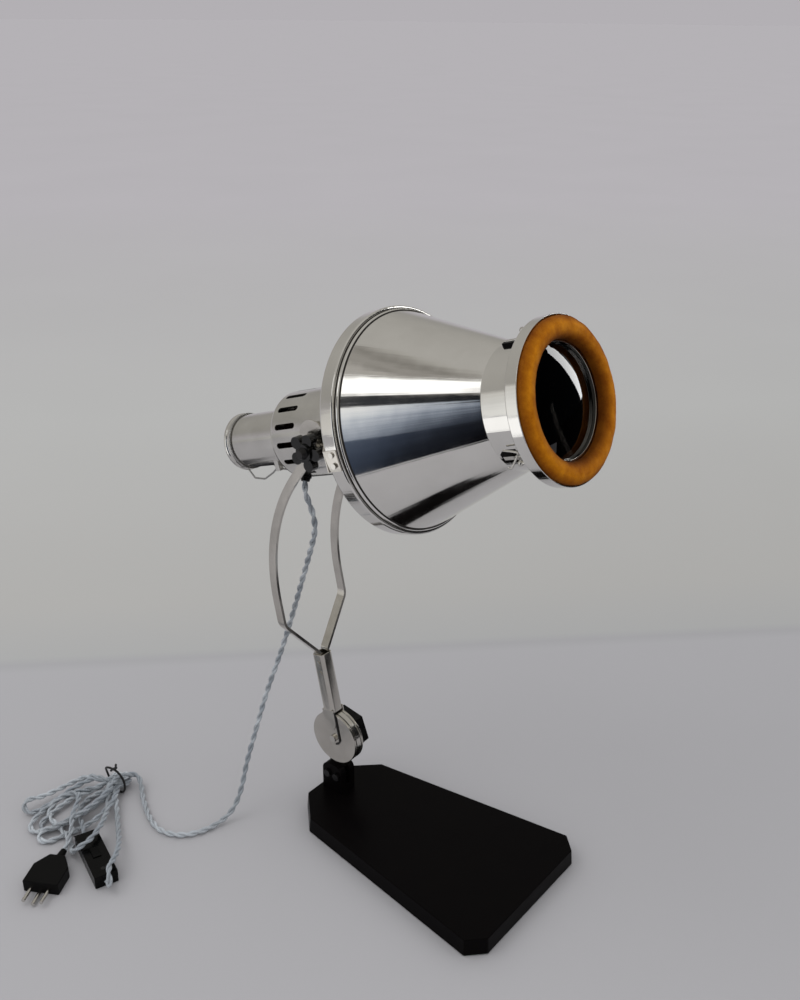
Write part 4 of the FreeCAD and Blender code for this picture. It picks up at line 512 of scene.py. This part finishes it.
# Stoved enamel on cast iron: near-black with a soft sheen, a slight orange peel of 3 mm and
# faint rubbed patches a few centimetres wide.
enamel, tree, shader, place = new_finish("stoved_black_enamel", Specular_IOR_Level=0.04)
rubbed = add_node(tree, "ShaderNodeTexNoise", {
    "Vector": place, "Scale": 1000 / 45, "Detail": 4.0, "Roughness": 0.6})
peel = add_node(tree, "ShaderNodeTexNoise", {"Vector": place, "Scale": 1000 / 3, "Detail": 1.0})
tint = add_node(tree, "ShaderNodeMix", {
    "Factor": rubbed.outputs["Fac"], 6: linear("#040304"), 7: linear("#080606")}, data_type="RGBA")
dull = add_node(tree, "ShaderNodeMapRange", {
    "Value": rubbed.outputs["Fac"], "From Min": 0.3, "From Max": 0.7, "To Min": 0.26, "To Max": 0.40})
skin = add_node(tree, "ShaderNodeBump", {"Height": peel.outputs["Fac"], "Distance": 0.0002, "Strength": 0.25})
feed(shader, Base_Color=tint.outputs[2], Roughness=dull.outputs["Result"], Normal=skin.outputs["Normal"])
softened("base_plate", 1.1, enamel, segments=3)
softened("base_lug", 0.8, enamel)

# Wool felt: a dark green, fully matt pile with a fleck of 1.2 mm.
felt, tree, shader, place = new_finish("green_baize", Roughness=0.97, Sheen_Weight=0.3)
fleck = add_node(tree, "ShaderNodeTexNoise", {"Vector": place, "Scale": 1000 / 1.2, "Detail": 3.0})
pile = add_node(tree, "ShaderNodeMix", {
    "Factor": fleck.outputs["Fac"], 6: linear("#1d3a24"), 7: linear("#2f5538")}, data_type="RGBA")
nap = add_node(tree, "ShaderNodeBump", {"Height": fleck.outputs["Fac"], "Distance": 0.0004})
feed(shader, Base_Color=pile.outputs[2], Normal=nap.outputs["Normal"])
dress(felt, "base_felt")

# ---------------------------------------------------------------- the knee joint
# Two steel discs on the stem grip a fixed disc on the base through fibre rings. A bolt and
# a black hexagonal hand knob behind them clamp the joint.

# Satin nickel plate on steel: warm grey, soft highlights, brushed along the stem in fine
# lines that are drawn at 0.9 mm so that they show.
STEM_LEAN = math.radians(12.3)
nickel, tree, shader, place = new_finish("satin_nickel_plate", Metallic=1.0)
brushing = add_node(tree, "ShaderNodeMapping", {
    "Vector": place, "Rotation": (0, STEM_LEAN, 0), "Scale": (1, 1, 0.08)})
lines = add_node(tree, "ShaderNodeTexNoise", {
    "Vector": brushing.outputs["Vector"], "Scale": 1000 / 0.9, "Detail": 2.0})
worn = add_node(tree, "ShaderNodeTexNoise", {"Vector": place, "Scale": 1000 / 22, "Detail": 4.0})
tint = add_node(tree, "ShaderNodeMix", {
    "Factor": worn.outputs["Fac"], 6: linear("#b2aea7"), 7: linear("#dad6cf")}, data_type="RGBA")
dull = add_node(tree, "ShaderNodeMapRange", {
    "Value": worn.outputs["Fac"], "From Min": 0.3, "From Max": 0.7, "To Min": 0.13, "To Max": 0.22})
brushed = add_node(tree, "ShaderNodeBump", {
    "Height": lines.outputs["Fac"], "Distance": 0.00001, "Strength": 0.3})
feed(shader, Base_Color=tint.outputs[2], Roughness=dull.outputs["Result"], Normal=brushed.outputs["Normal"])

# Polished nickel plate: bright and slightly warm, with light smears.
bright, tree, shader, place = new_finish("polished_nickel_plate", Metallic=1.0, Base_Color=linear("#cfccc6"))
smears = add_node(tree, "ShaderNodeTexNoise", {"Vector": place, "Scale": 1000 / 12, "Detail": 3.0})
dull = add_node(tree, "ShaderNodeMapRange", {"Value": smears.outputs["Fac"], "To Min": 0.08, "To Max": 0.22})
feed(shader, Roughness=dull.outputs["Result"])


def moulded_bakelite(name, least, most, **inputs):
    """Black bakelite whose roughness varies with handling marks about 9 mm wide."""
    made, tree, shader, place = new_finish(name, Base_Color=linear("#030303"), **inputs)
    handled = add_node(tree, "ShaderNodeTexNoise", {"Vector": place, "Scale": 1000 / 9, "Detail": 4.0})
    dull = add_node(tree, "ShaderNodeMapRange", {
        "Value": handled.outputs["Fac"], "From Min": 0.35, "From Max": 0.7, "To Min": least, "To Max": most})
    feed(shader, Roughness=dull.outputs["Result"])
    return made


# Compression-moulded bakelite: black with a soft gloss and faint handling marks.
bakelite = moulded_bakelite("black_bakelite_moulding", 0.2, 0.36, Specular_IOR_Level=0.12)

# Vulcanised fibre: dark red-brown pressed paper, matt with a fine fleck.
fibre, tree, shader, place = new_finish("vulcanised_fibre", Roughness=0.7)
pulp = add_node(tree, "ShaderNodeTexNoise", {"Vector": place, "Scale": 1000 / 0.8})
tint = add_node(tree, "ShaderNodeMix", {
    "Factor": pulp.outputs["Fac"], 6: linear("#3a1d17"), 7: linear("#54291f")}, data_type="RGBA")
feed(shader, Base_Color=tint.outputs[2])

# Chemically blackened steel: charcoal, slightly oily.
blackened, tree, shader, place = new_finish("blackened_steel", Metallic=1.0, Base_Color=linear("#3a393a"))
oil = add_node(tree, "ShaderNodeTexNoise", {"Vector": place, "Scale": 1000 / 5})
dull = add_node(tree, "ShaderNodeMapRange", {"Value": oil.outputs["Fac"], "To Min": 0.3, "To Max": 0.5})
feed(shader, Roughness=dull.outputs["Result"])

# Turned brass, lightly tarnished.
brass, tree, shader, place = new_finish("turned_brass", Metallic=1.0)
tarnish = add_node(tree, "ShaderNodeTexNoise", {"Vector": place, "Scale": 1000 / 3, "Detail": 3.0})
tint = add_node(tree, "ShaderNodeMix", {
    "Factor": tarnish.outputs["Fac"], 6: linear("#a8813f"), 7: linear("#d6b268")}, data_type="RGBA")
dull = add_node(tree, "ShaderNodeMapRange", {"Value": tarnish.outputs["Fac"], "To Min": 0.18, "To Max": 0.4})
feed(shader, Base_Color=tint.outputs[2], Roughness=dull.outputs["Result"])

# Drawn spring steel: mid grey with drawing lines.
spring, tree, shader, place = new_finish("drawn_spring_steel", Metallic=1.0, Base_Color=linear("#a5a4a2"))
drawn = add_node(tree, "ShaderNodeTexNoise", {"Vector": place, "Scale": 1000 / 2})
dull = add_node(tree, "ShaderNodeMapRange", {"Value": drawn.outputs["Fac"], "To Min": 0.15, "To Max": 0.35})
feed(shader, Roughness=dull.outputs["Result"])

softened("fixed_disc", 0.5, bright)
softened("near_disc", 0.6, nickel)
softened("far_disc", 0.6, nickel)
softened("clamp_knob", 0.9, bakelite, segments=3)
dress(fibre, "friction_rings")
dress(blackened, "lug_bolts")
dress(bright, "joint_bolt")
dress(brass, "clamp_bush")
# Painted shade: the stop hook is dressed in blackened steel to stand for the dark reflection and shadowed gap
# along a bright wire hook.
dress(blackened, "stop_hook")

# ---------------------------------------------------------------- the stem and the fork
# A rectangular steel tube with rounded long edges, whose two cheeks run down over the outer
# faces of the knee discs. Two flat bars riveted in its mouth bow out round the neck. All
# satin nickel plated.
STEM_DEPTH = 16.5
STEM_WIDTH = 17.0
STEM_WALL = 1.4
STEM_FOOT = 31.9
STEM_MOUTH = 102.3
STEM_ROUND = 4.6
CHEEK_FOOT = 11.0
CHEEK_TOP = 36.0
CHEEK_OUT = 7.85
CHEEK_WALL = 1.7
CHEEK_ROUND = 8.1
bm = bmesh.new()
bmesh.ops.create_cube(bm, size=1, matrix=Matrix.Translation((0, 0, (STEM_FOOT + STEM_MOUTH) / 2))
                      @ Matrix.Diagonal((STEM_DEPTH, STEM_WIDTH, STEM_MOUTH - STEM_FOOT, 1)))
bmesh.ops.bevel(bm, geom=[edge for edge in bm.edges if abs(edge.verts[0].co.z - edge.verts[1].co.z) > 1],
                offset=STEM_ROUND, offset_type="OFFSET", segments=8, profile=0.5, affect="EDGES",
                material=-1, clamp_overlap=True)
bmesh.ops.delete(bm, geom=[face for face in bm.faces if abs(face.normal.z) > 0.9], context="FACES")
bmesh.ops.recalc_face_normals(bm, faces=bm.faces)
bmesh.ops.solidify(bm, geom=bm.faces[:], thickness=STEM_WALL)
for side in (-1, 1):
    middle = Matrix.Translation((0, side * CHEEK_OUT, (CHEEK_FOOT + CHEEK_TOP) / 2))
    cheek = bmesh.ops.create_cube(bm, size=1, matrix=middle @ Matrix.Diagonal(
        (STEM_DEPTH, CHEEK_WALL, CHEEK_TOP - CHEEK_FOOT, 1)))["verts"]
    bmesh.ops.bevel(bm, geom=[edge for edge in {edge for vertex in cheek for edge in vertex.link_edges}
                              if max(vertex.co.z for vertex in edge.verts) < CHEEK_FOOT + 1
                              and abs(edge.verts[0].co.y - edge.verts[1].co.y) > 1],
                    offset=CHEEK_ROUND, offset_type="OFFSET", segments=10, profile=0.5, affect="EDGES",
                    material=-1, clamp_overlap=True)
bmesh.ops.transform(bm, matrix=Matrix.Translation(joints["stem_tilt"]["pos_m"])
                    @ Matrix.Rotation(-STEM_LEAN, 4, "Y") @ Matrix.Scale(0.001, 4), verts=bm.verts)
mesh = mesh_of(bm, "pinched_stem", nickel)
mesh.shade_smooth()
stem = placed("pinched_stem", mesh)
round_edges(stem, 0.6, segments=2, limit=40)
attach(stem, "arm")
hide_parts("stem_tube")
softened("fork_arm_near", 1.35, nickel, segments=4)
softened("fork_arm_far", 1.35, nickel, segments=4)
dress(nickel, "fork_rivets")

# ---------------------------------------------------------------- the head pivots
# Studs through the bracket plates carry the head in the fork: a black five-lobed wing knob
# on the near side, a plain nut on the far side.

# The same bakelite buffed to a glassy skin on the knob that is turned every day.
buffed = moulded_bakelite("buffed_black_bakelite", 0.12, 0.3, Specular_IOR_Level=0.1,
                          Coat_Weight=1.0, Coat_IOR=1.42, Coat_Roughness=0.05)
softened("wing_knob", 1.5, buffed, segments=4)
dress(bright, "pivot_studs", "pivot_washers", "pivot_nut")
dress(blackened, "wing_cap")
softened("side_bracket_near", 0.3, nickel)
softened("side_bracket_far", 0.3, nickel)
dress(bright, "bracket_rivets")

# ---------------------------------------------------------------- the neck and its cap
# Spun aluminium: a slotted neck that lets the heat out, and a rear cap with a lid that a
# wire bail holds. Left satin from the lathe.
HOOD_RIM = Vector((-0.03206, 0.0, 0.48322))
HEAD_AXIS = tuple(joints["front_pull"]["axis"])
HEAD_RISE = math.asin(HEAD_AXIS[2])
HEAD_TURN = Matrix.Translation(HOOD_RIM) @ Matrix.Rotation(-HEAD_RISE, 4, "Y")

# Satin spun aluminium: pale grey with the lathe's fine rings round its axis. The real rings
# are 0.2 mm apart; they are drawn at 0.7 mm so that they show.
satin, tree, shader, place = new_finish("satin_spun_aluminium", Metallic=1.0)
along = add_node(tree, "ShaderNodeVectorMath", {
    0: place, 1: HEAD_AXIS}, operation="DOT_PRODUCT")
rings = add_node(tree, "ShaderNodeTexNoise", {
    "W": along.outputs["Value"], "Scale": 1000 / 0.7, "Detail": 2.0}, noise_dimensions="1D")
worn = add_node(tree, "ShaderNodeTexNoise", {"Vector": place, "Scale": 1000 / 25, "Detail": 4.0})
tint = add_node(tree, "ShaderNodeMix", {
    "Factor": worn.outputs["Fac"], 6: linear("#cbc9c4"), 7: linear("#e3e1dd")}, data_type="RGBA")
dull = add_node(tree, "ShaderNodeMapRange", {
    "Value": worn.outputs["Fac"], "From Min": 0.3, "From Max": 0.7, "To Min": 0.11, "To Max": 0.2})
turned = add_node(tree, "ShaderNodeBump", {
    "Height": rings.outputs["Fac"], "Distance": 0.00001, "Strength": 0.4})
feed(shader, Base_Color=tint.outputs[2], Roughness=dull.outputs["Result"], Normal=turned.outputs["Normal"])


def turn_about_axis(bm, steps=192):
    """Turns a profile in mm about the head's axis and moves the shape to the head."""
    bmesh.ops.spin(bm, geom=bm.verts[:] + bm.edges[:], cent=(0, 0, 0), axis=(1, 0, 0),
                   angle=math.tau, steps=steps, use_merge=True)
    bmesh.ops.remove_doubles(bm, verts=bm.verts, dist=0.001)
    bmesh.ops.recalc_face_normals(bm, faces=bm.faces)
    bmesh.ops.transform(bm, matrix=HEAD_TURN @ Matrix.Scale(0.001, 4), verts=bm.verts)


def spun(name, profile, finish, body, *nodes, corner=0.4, steps=192, closed=True):
    """A piece turned about the head's axis from a profile of (along, out) points in mm."""
    bm = bmesh.new()
    points = [bm.verts.new((along, 0, out)) for along, out in profile]
    for first, second in zip(points, points[1:] + points[:1] if closed else points[1:]):
        bm.edges.new((first, second))
    bmesh.ops.bevel(bm, geom=[point for point in points if point.co.z > 0 and len(point.link_edges) == 2],
                    offset=corner, offset_type="OFFSET", segments=3, profile=0.5, affect="VERTICES",
                    material=-1, clamp_overlap=True)
    turn_about_axis(bm, steps)
    mesh = mesh_of(bm, name, finish)
    mesh.shade_smooth()
    mesh.set_sharp_from_angle(angle=math.radians(40))
    piece = placed(name, mesh)
    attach(piece, body)
    if nodes:
        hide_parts(*nodes)
    return piece


neck = softened("neck_shell", 0.35, satin)

# Painted shade: near-black aluminium with a faint mottle, on the inner faces of the neck where shade falls
# and on the dark seam lines of the hood.
painted_shade_dark, tree, shader, place = new_finish("painted_shade_aluminium", Metallic=0.3, Roughness=0.7)
shade_mottle = add_node(tree, "ShaderNodeTexNoise", {"Vector": place, "Scale": 1000 / 10})
tint = add_node(tree, "ShaderNodeMix", {
    "Factor": shade_mottle.outputs["Fac"], 6: linear("#161412"), 7: linear("#2a2621")}, data_type="RGBA")
feed(shader, Base_Color=tint.outputs[2])
neck.data.materials.append(painted_shade_dark)
NECK_RADIUS = 0.0432
to_head = HEAD_TURN.inverted()
# The neck's inner faces take the painted shade.
for face in neck.data.polygons:
    outward = to_head @ face.center
    outward.x = 0
    if outward.dot(to_head.to_3x3() @ face.normal) < 0 and outward.length < NECK_RADIUS:
        face.material_index = 1
softened("rear_cap", 0.4, satin)
spun("rolled_lid", [
    (-227.6, 0), (-227.5, 14), (-227.1, 22), (-226.4, 26.4), (-226.6, 28.2), (-225.9, 29.6), (-224.4, 30.2),
    (-222.6, 29.9), (-221.4, 29.0), (-219.0, 29.0), (-217.5, 29.5), (-217.5, 28.4), (-224.6, 28.4),
    (-225.4, 26.0), (-225.6, 0)], satin, "head", "cap_lid", corner=0.3, closed=False)
dress(spring, "lid_spring_wire")
dress(bakelite, "cord_gland")

# ---------------------------------------------------------------- the lamp inside
# A porcelain lamp holder with its terminal block, and a clear reflector bulb with a brass
# cap screwed into it.

# Brown-glazed porcelain: almost black, glossy, a little uneven.
porcelain, tree, shader, place = new_finish("brown_glazed_porcelain", Roughness=0.2)
glaze = add_node(tree, "ShaderNodeTexNoise", {"Vector": place, "Scale": 1000 / 14})
tint = add_node(tree, "ShaderNodeMix", {
    "Factor": glaze.outputs["Fac"], 6: linear("#150d09"), 7: linear("#24160f")}, data_type="RGBA")
feed(shader, Base_Color=tint.outputs[2])
dress(porcelain, "lamp_holder", "terminal_block")
dress(brass, "bulb_cap")

# Clear blown glass with a little smoke inside.
blown_glass, tree, shader, place = new_finish(
    "blown_glass", Base_Color=linear("#cfd2cf"), Roughness=0.02, Transmission_Weight=1.0, IOR=1.5)
ripple = add_node(tree, "ShaderNodeTexNoise", {"Vector": place, "Scale": 1000 / 20})
uneven = add_node(tree, "ShaderNodeBump", {"Height": ripple.outputs["Fac"], "Distance": 0.0003})
feed(shader, Normal=uneven.outputs["Normal"])
dress(blown_glass, "bulb_glass")

# ---------------------------------------------------------------- the reflector and the hood
# Spun aluminium polished to a mirror: a domed reflector, a rolled band, a long cone that
# narrows to the front, and a plain collar.

# Mirror-polished aluminium: cool white metal with a slight waviness from the spinning, fine
# buffing rings drawn at 0.9 mm, faint strokes that run along the hood, and smears.
mirror, tree, shader, place = new_finish("mirror_polished_aluminium", Metallic=1.0)
along = add_node(tree, "ShaderNodeVectorMath", {
    0: place, 1: HEAD_AXIS}, operation="DOT_PRODUCT")
rings = add_node(tree, "ShaderNodeTexNoise", {
    "W": along.outputs["Value"], "Scale": 1000 / 0.9, "Detail": 2.0}, noise_dimensions="1D")
waves = add_node(tree, "ShaderNodeTexNoise", {"Vector": place, "Scale": 1000 / 38, "Detail": 2.0})
smears = add_node(tree, "ShaderNodeTexNoise", {
    "Vector": place, "Scale": 1000 / 30, "Detail": 5.0, "Roughness": 0.6})
tint = add_node(tree, "ShaderNodeMix", {
    "Factor": smears.outputs["Fac"], 6: linear("#dddbd6"), 7: linear("#efede9")}, data_type="RGBA")
dull = add_node(tree, "ShaderNodeMapRange", {
    "Value": smears.outputs["Fac"], "From Min": 0.3, "From Max": 0.7, "To Min": 0.055, "To Max": 0.13})
wavy = add_node(tree, "ShaderNodeBump", {
    "Height": waves.outputs["Fac"], "Distance": 0.0006, "Strength": 0.4})
level = add_node(tree, "ShaderNodeMapping", {"Vector": place, "Location": tuple(-HOOD_RIM)})
level = add_node(tree, "ShaderNodeMapping", {
    "Vector": level.outputs["Vector"], "Rotation": (0, HEAD_RISE, 0)})
level = add_node(tree, "ShaderNodeSeparateXYZ", {"Vector": level.outputs["Vector"]})
round_axis = add_node(tree, "ShaderNodeMath", {
    0: level.outputs["Y"], 1: level.outputs["Z"]}, operation="ARCTAN2")
strokes = add_node(tree, "ShaderNodeTexNoise", {
    "W": round_axis.outputs["Value"], "Scale": 100 / 7, "Detail": 4.0}, noise_dimensions="1D")
wavy = add_node(tree, "ShaderNodeBump", {
    "Height": strokes.outputs["Fac"], "Distance": 0.0003, "Strength": 0.3, "Normal": wavy.outputs["Normal"]})
ringed = add_node(tree, "ShaderNodeBump", {
    "Height": rings.outputs["Fac"], "Distance": 0.000012, "Strength": 0.4, "Normal": wavy.outputs["Normal"]})
feed(shader, Base_Color=tint.outputs[2], Roughness=dull.outputs["Result"], Normal=ringed.outputs["Normal"])
dress(mirror, "reflector_dome")
spun("rolled_hood_band", [
    (-1.2, 103.4), (-1.2, 104.6), (-0.2, 105.0), (0.8, 105.0), (11.8, 105.0), (12.8, 105.0),
    (14.0, 104.3), (14.2, 103.0), (14.0, 101.9), (13.0, 101.9), (13.0, 103.4)],
    mirror, "head", "hood_band", corner=0.35)
spun("polished_cone", [
    (13.9, 98.6), (13.8, 101.0), (14.6, 101.7), (15.9, 101.9), (17.1, 101.4), (17.8, 100.2), (18.4, 99.5),
    (19.4, 99.11), (20.4, 98.72), (132.0, 55.38), (133.0, 54.99), (134.0, 54.6), (134.0, 53.3),
    (132.0, 54.0), (20.4, 97.3), (18.4, 98.1)], mirror, "head", "cone_hood", corner=0.4)
# Two thin near-black rings in the joints of band and cone: painted shadow in the seams.
spun("painted_shadow_past_bead", [(17.6, 99.0), (17.6, 100.7), (18.1, 100.1), (18.7, 99.6), (18.7, 99.0)],
     painted_shade_dark, "head", corner=0.1)
spun("painted_shadow_at_band", [(13.8, 101.2), (13.8, 102.5), (14.5, 102.2), (14.5, 101.2)], painted_shade_dark, "head", corner=0.1)
softened("front_collar", 0.4, mirror)

# ---------------------------------------------------------------- the front holder
# A polished ring that slips over the collar, where three sprung clips hold it. It carries the
# glass in a thin retaining ring, and a leather-covered pad to rest against.
softened("front_ring", 0.5, mirror)
softened("lens_retainer", 0.3, bright)
dress(enamel, "clip_blocks")
dress(bright, "clip_springs")
dress(bright, "clip_pins")

# The near clip keeps its wire catch: 1.8 mm plated steel wire bent into a hook over the
# block, with its foot turned under, swept as one curve.
catch_wire = round_wire("near_catch", 0.0009)
smooth_line(catch_wire, [
    (0.1135, -0.0530, 0.5070), (0.1200, -0.0540, 0.5085), (0.1290, -0.0550, 0.5100),
    (0.1295, -0.0555, 0.5085), (0.1262, -0.0555, 0.5000), (0.1235, -0.0550, 0.4935),
    (0.1210, -0.0545, 0.4950)])
catch_wire.materials.append(bright)
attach(placed("near_catch", catch_wire), "head")

# Pressed lens glass: smoky, slightly domed, with a hard gloss.
lens_glass, tree, shader, place = new_finish(
    "smoky_pressed_glass", Base_Color=linear("#1d1b19"), Roughness=0.01, Transmission_Weight=1.0, IOR=1.52)
ripple = add_node(tree, "ShaderNodeTexNoise", {"Vector": place, "Scale": 1000 / 60})
uneven = add_node(tree, "ShaderNodeBump", {
    "Height": ripple.outputs["Fac"], "Distance": 0.0004, "Strength": 0.4})
feed(shader, Normal=uneven.outputs["Normal"])
LENS_CROWN = 181.2
DOME_CENTRE = 17.6
DOME_ANGLE = math.radians(17.06)
LENS_SHOULDER = 173.9
LENS_BACK = 170.8
LENS_RADIUS = 51.8
bm = bmesh.new()
crown = bm.verts.new((LENS_CROWN, 0, 0))
bmesh.ops.spin(bm, geom=[crown], cent=(DOME_CENTRE, 0, 0), axis=(0, 1, 0), angle=-DOME_ANGLE,
               steps=14, use_merge=False)
rim = max(bm.verts, key=lambda vertex: vertex.co.z)
for along, out in ((LENS_SHOULDER, LENS_RADIUS), (LENS_BACK, LENS_RADIUS), (LENS_BACK, 0)):
    corner = bm.verts.new((along, 0, out))
    bm.edges.new((rim, corner))
    rim = corner
turn_about_axis(bm)
mesh = mesh_of(bm, "domed_lens", lens_glass)
mesh.shade_smooth()
mesh.set_sharp_from_angle(angle=math.radians(25))
lens = placed("domed_lens", mesh)
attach(lens, "holder")
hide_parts("front_lens")

# Goat leather over wadding: ochre tan, soft sheen, a fine pebbled grain drawn at 1.6 mm,
# stains where hands have rubbed it, and painted shade on both edges, lightest on the crown.
leather, tree, shader, place = new_finish("tan_goat_leather", Specular_IOR_Level=0.1)
grain = add_node(tree, "ShaderNodeTexVoronoi", {"Vector": place, "Scale": 1000 / 1.6})
handled = add_node(tree, "ShaderNodeTexNoise", {
    "Vector": place, "Scale": 1000 / 14, "Detail": 5.0, "Roughness": 0.65})
stain = add_node(tree, "ShaderNodeValToRGB", {"Fac": handled.outputs["Fac"]})
stain.color_ramp.elements[0].position = 0.3
stain.color_ramp.elements[0].color = linear("#985400")
stain.color_ramp.elements[1].position = 0.7
stain.color_ramp.elements[1].color = linear("#c67e0c")
from_hub = add_node(tree, "ShaderNodeVectorMath", {0: place, 1: tuple(HOOD_RIM)}, operation="SUBTRACT")
outward = add_node(tree, "ShaderNodeVectorMath", {
    0: from_hub.outputs["Vector"], 1: HEAD_AXIS}, operation="CROSS_PRODUCT")
out_by = add_node(tree, "ShaderNodeVectorMath", {0: outward.outputs["Vector"]}, operation="LENGTH")
PAD_INNER = 0.0495
PAD_OUTER = 0.0710
over_pad = add_node(tree, "ShaderNodeMapRange", {
    "Value": out_by.outputs["Value"], "From Min": PAD_INNER, "From Max": PAD_OUTER})
# Painted shade across the pad: darkest at the inner and outer edges, lightest along the crown, multiplied
# into the stains.
painted_edge_shade = add_node(tree, "ShaderNodeValToRGB", {"Fac": over_pad.outputs["Result"]})
painted_edge_shade.color_ramp.elements[0].color = linear("#7a6a58")
painted_edge_shade.color_ramp.elements[1].color = linear("#8a7a66")
for position, tone in ((0.16, "#b5a994"), (0.36, "#f2f0ec"), (0.62, "#ffffff"), (0.84, "#c9bfae")):
    painted_edge_shade.color_ramp.elements.new(position).color = linear(tone)
hide = add_node(tree, "ShaderNodeMix", {
    "Factor": 1.0, 6: stain.outputs["Color"], 7: painted_edge_shade.outputs["Color"]},
    data_type="RGBA", blend_type="MULTIPLY")
dull = add_node(tree, "ShaderNodeMapRange", {"Value": handled.outputs["Fac"], "To Min": 0.95, "To Max": 0.7})
pebbled = add_node(tree, "ShaderNodeBump", {
    "Height": grain.outputs["Distance"], "Distance": 0.0005, "Strength": 0.45})
creased = add_node(tree, "ShaderNodeBump", {
    "Height": handled.outputs["Fac"], "Distance": 0.002, "Strength": 0.25,
    "Normal": pebbled.outputs["Normal"]})
feed(shader, Base_Color=hide.outputs[2], Roughness=dull.outputs["Result"], Normal=creased.outputs["Normal"])
pad = spun("leather_ring_pad", [
    (177.4, 53.0), (174.6, 53.2), (174.6, 69.2), (181.4, 69.4), (183.6, 69.5), (186.3, 66.4),
    (188.0, 62.8), (188.6, 60.2), (188.1, 56.0), (186.6, 52.8), (184.0, 50.7), (180.6, 50.0), (177.4, 50.0)],
    leather, "holder", "leather_pad", corner=1.2, steps=256)

# The stuffing shows as soft lumps about 11 mm and 4 mm wide, up to half a millimetre high.
bm = bmesh.new()
bm.from_mesh(pad.data)
bm.normal_update()
for vertex in bm.verts:
    lump = noise.noise(vertex.co * 90) * 0.35 + noise.noise(vertex.co * 260) * 0.15
    vertex.co += vertex.normal * (lump - 0.2) / 1000
bm.to_mesh(pad.data)
bm.free()

# ---------------------------------------------------------------- the switch, the plug and the tie
# A two-part bakelite switch held by blackened screws, a moulded rubber plug with three
# pins, and the bendable wire tie that is wound round the hank.

# Moulded rubber: charcoal black, matt, with a faint bloom.
rubber, tree, shader, place = new_finish("moulded_black_rubber", Specular_IOR_Level=0.08)
bloom = add_node(tree, "ShaderNodeTexNoise", {"Vector": place, "Scale": 1000 / 8, "Detail": 3.0})
tint = add_node(tree, "ShaderNodeMix", {
    "Factor": bloom.outputs["Fac"], 6: linear("#070707"), 7: linear("#0e0d0d")}, data_type="RGBA")
dull = add_node(tree, "ShaderNodeMapRange", {"Value": bloom.outputs["Fac"], "To Min": 0.42, "To Max": 0.6})
feed(shader, Base_Color=tint.outputs[2], Roughness=dull.outputs["Result"])

# The nylon skin of the wire tie: black, semi-matt, with a fine mould texture of 0.5 mm.
nylon, tree, shader, place = new_finish("black_nylon_moulding", Base_Color=linear("#0b0b0b"), Roughness=0.42)
texture = add_node(tree, "ShaderNodeTexNoise", {"Vector": place, "Scale": 1000 / 0.5})
sparked = add_node(tree, "ShaderNodeBump", {"Height": texture.outputs["Fac"], "Distance": 0.00008})
feed(shader, Normal=sparked.outputs["Normal"])

softened("switch_body", 0.9, bakelite, segments=3)
softened("switch_cover", 0.9, bakelite, segments=3)
softened("switch_rocker", 0.5, bakelite)
dress(blackened, "switch_screws")
softened("plug_body", 1.2, rubber, segments=3)
dress(rubber, "plug_relief")
dress(bright, "plug_pins")

# One closed ring and a loose end that stands up from it.
tie_wire = round_wire("wire_tie", 0.0013)
smooth_line(tie_wire, [
    (-0.3495, -0.1478, 0.0040), (-0.3501, -0.1507, 0.0170), (-0.3457, -0.1546, 0.0270),
    (-0.3357, -0.1555, 0.0320), (-0.3251, -0.1535, 0.0310), (-0.3177, -0.1519, 0.0230),
    (-0.3155, -0.1513, 0.0120), (-0.3189, -0.1527, 0.0020), (-0.3291, -0.1528, 0.0015),
    (-0.3409, -0.1505, 0.0015)], closed=True)
smooth_line(tie_wire, [
    (-0.3355, -0.1546, 0.0270), (-0.3302, -0.1536, 0.0330), (-0.3251, -0.1535, 0.0350),
    (-0.3244, -0.1552, 0.0390), (-0.3198, -0.1576, 0.0450)])
tie_wire.materials.append(nylon)
tie = placed("wire_tie", tie_wire)
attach(tie, "base")
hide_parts("cable_tie")
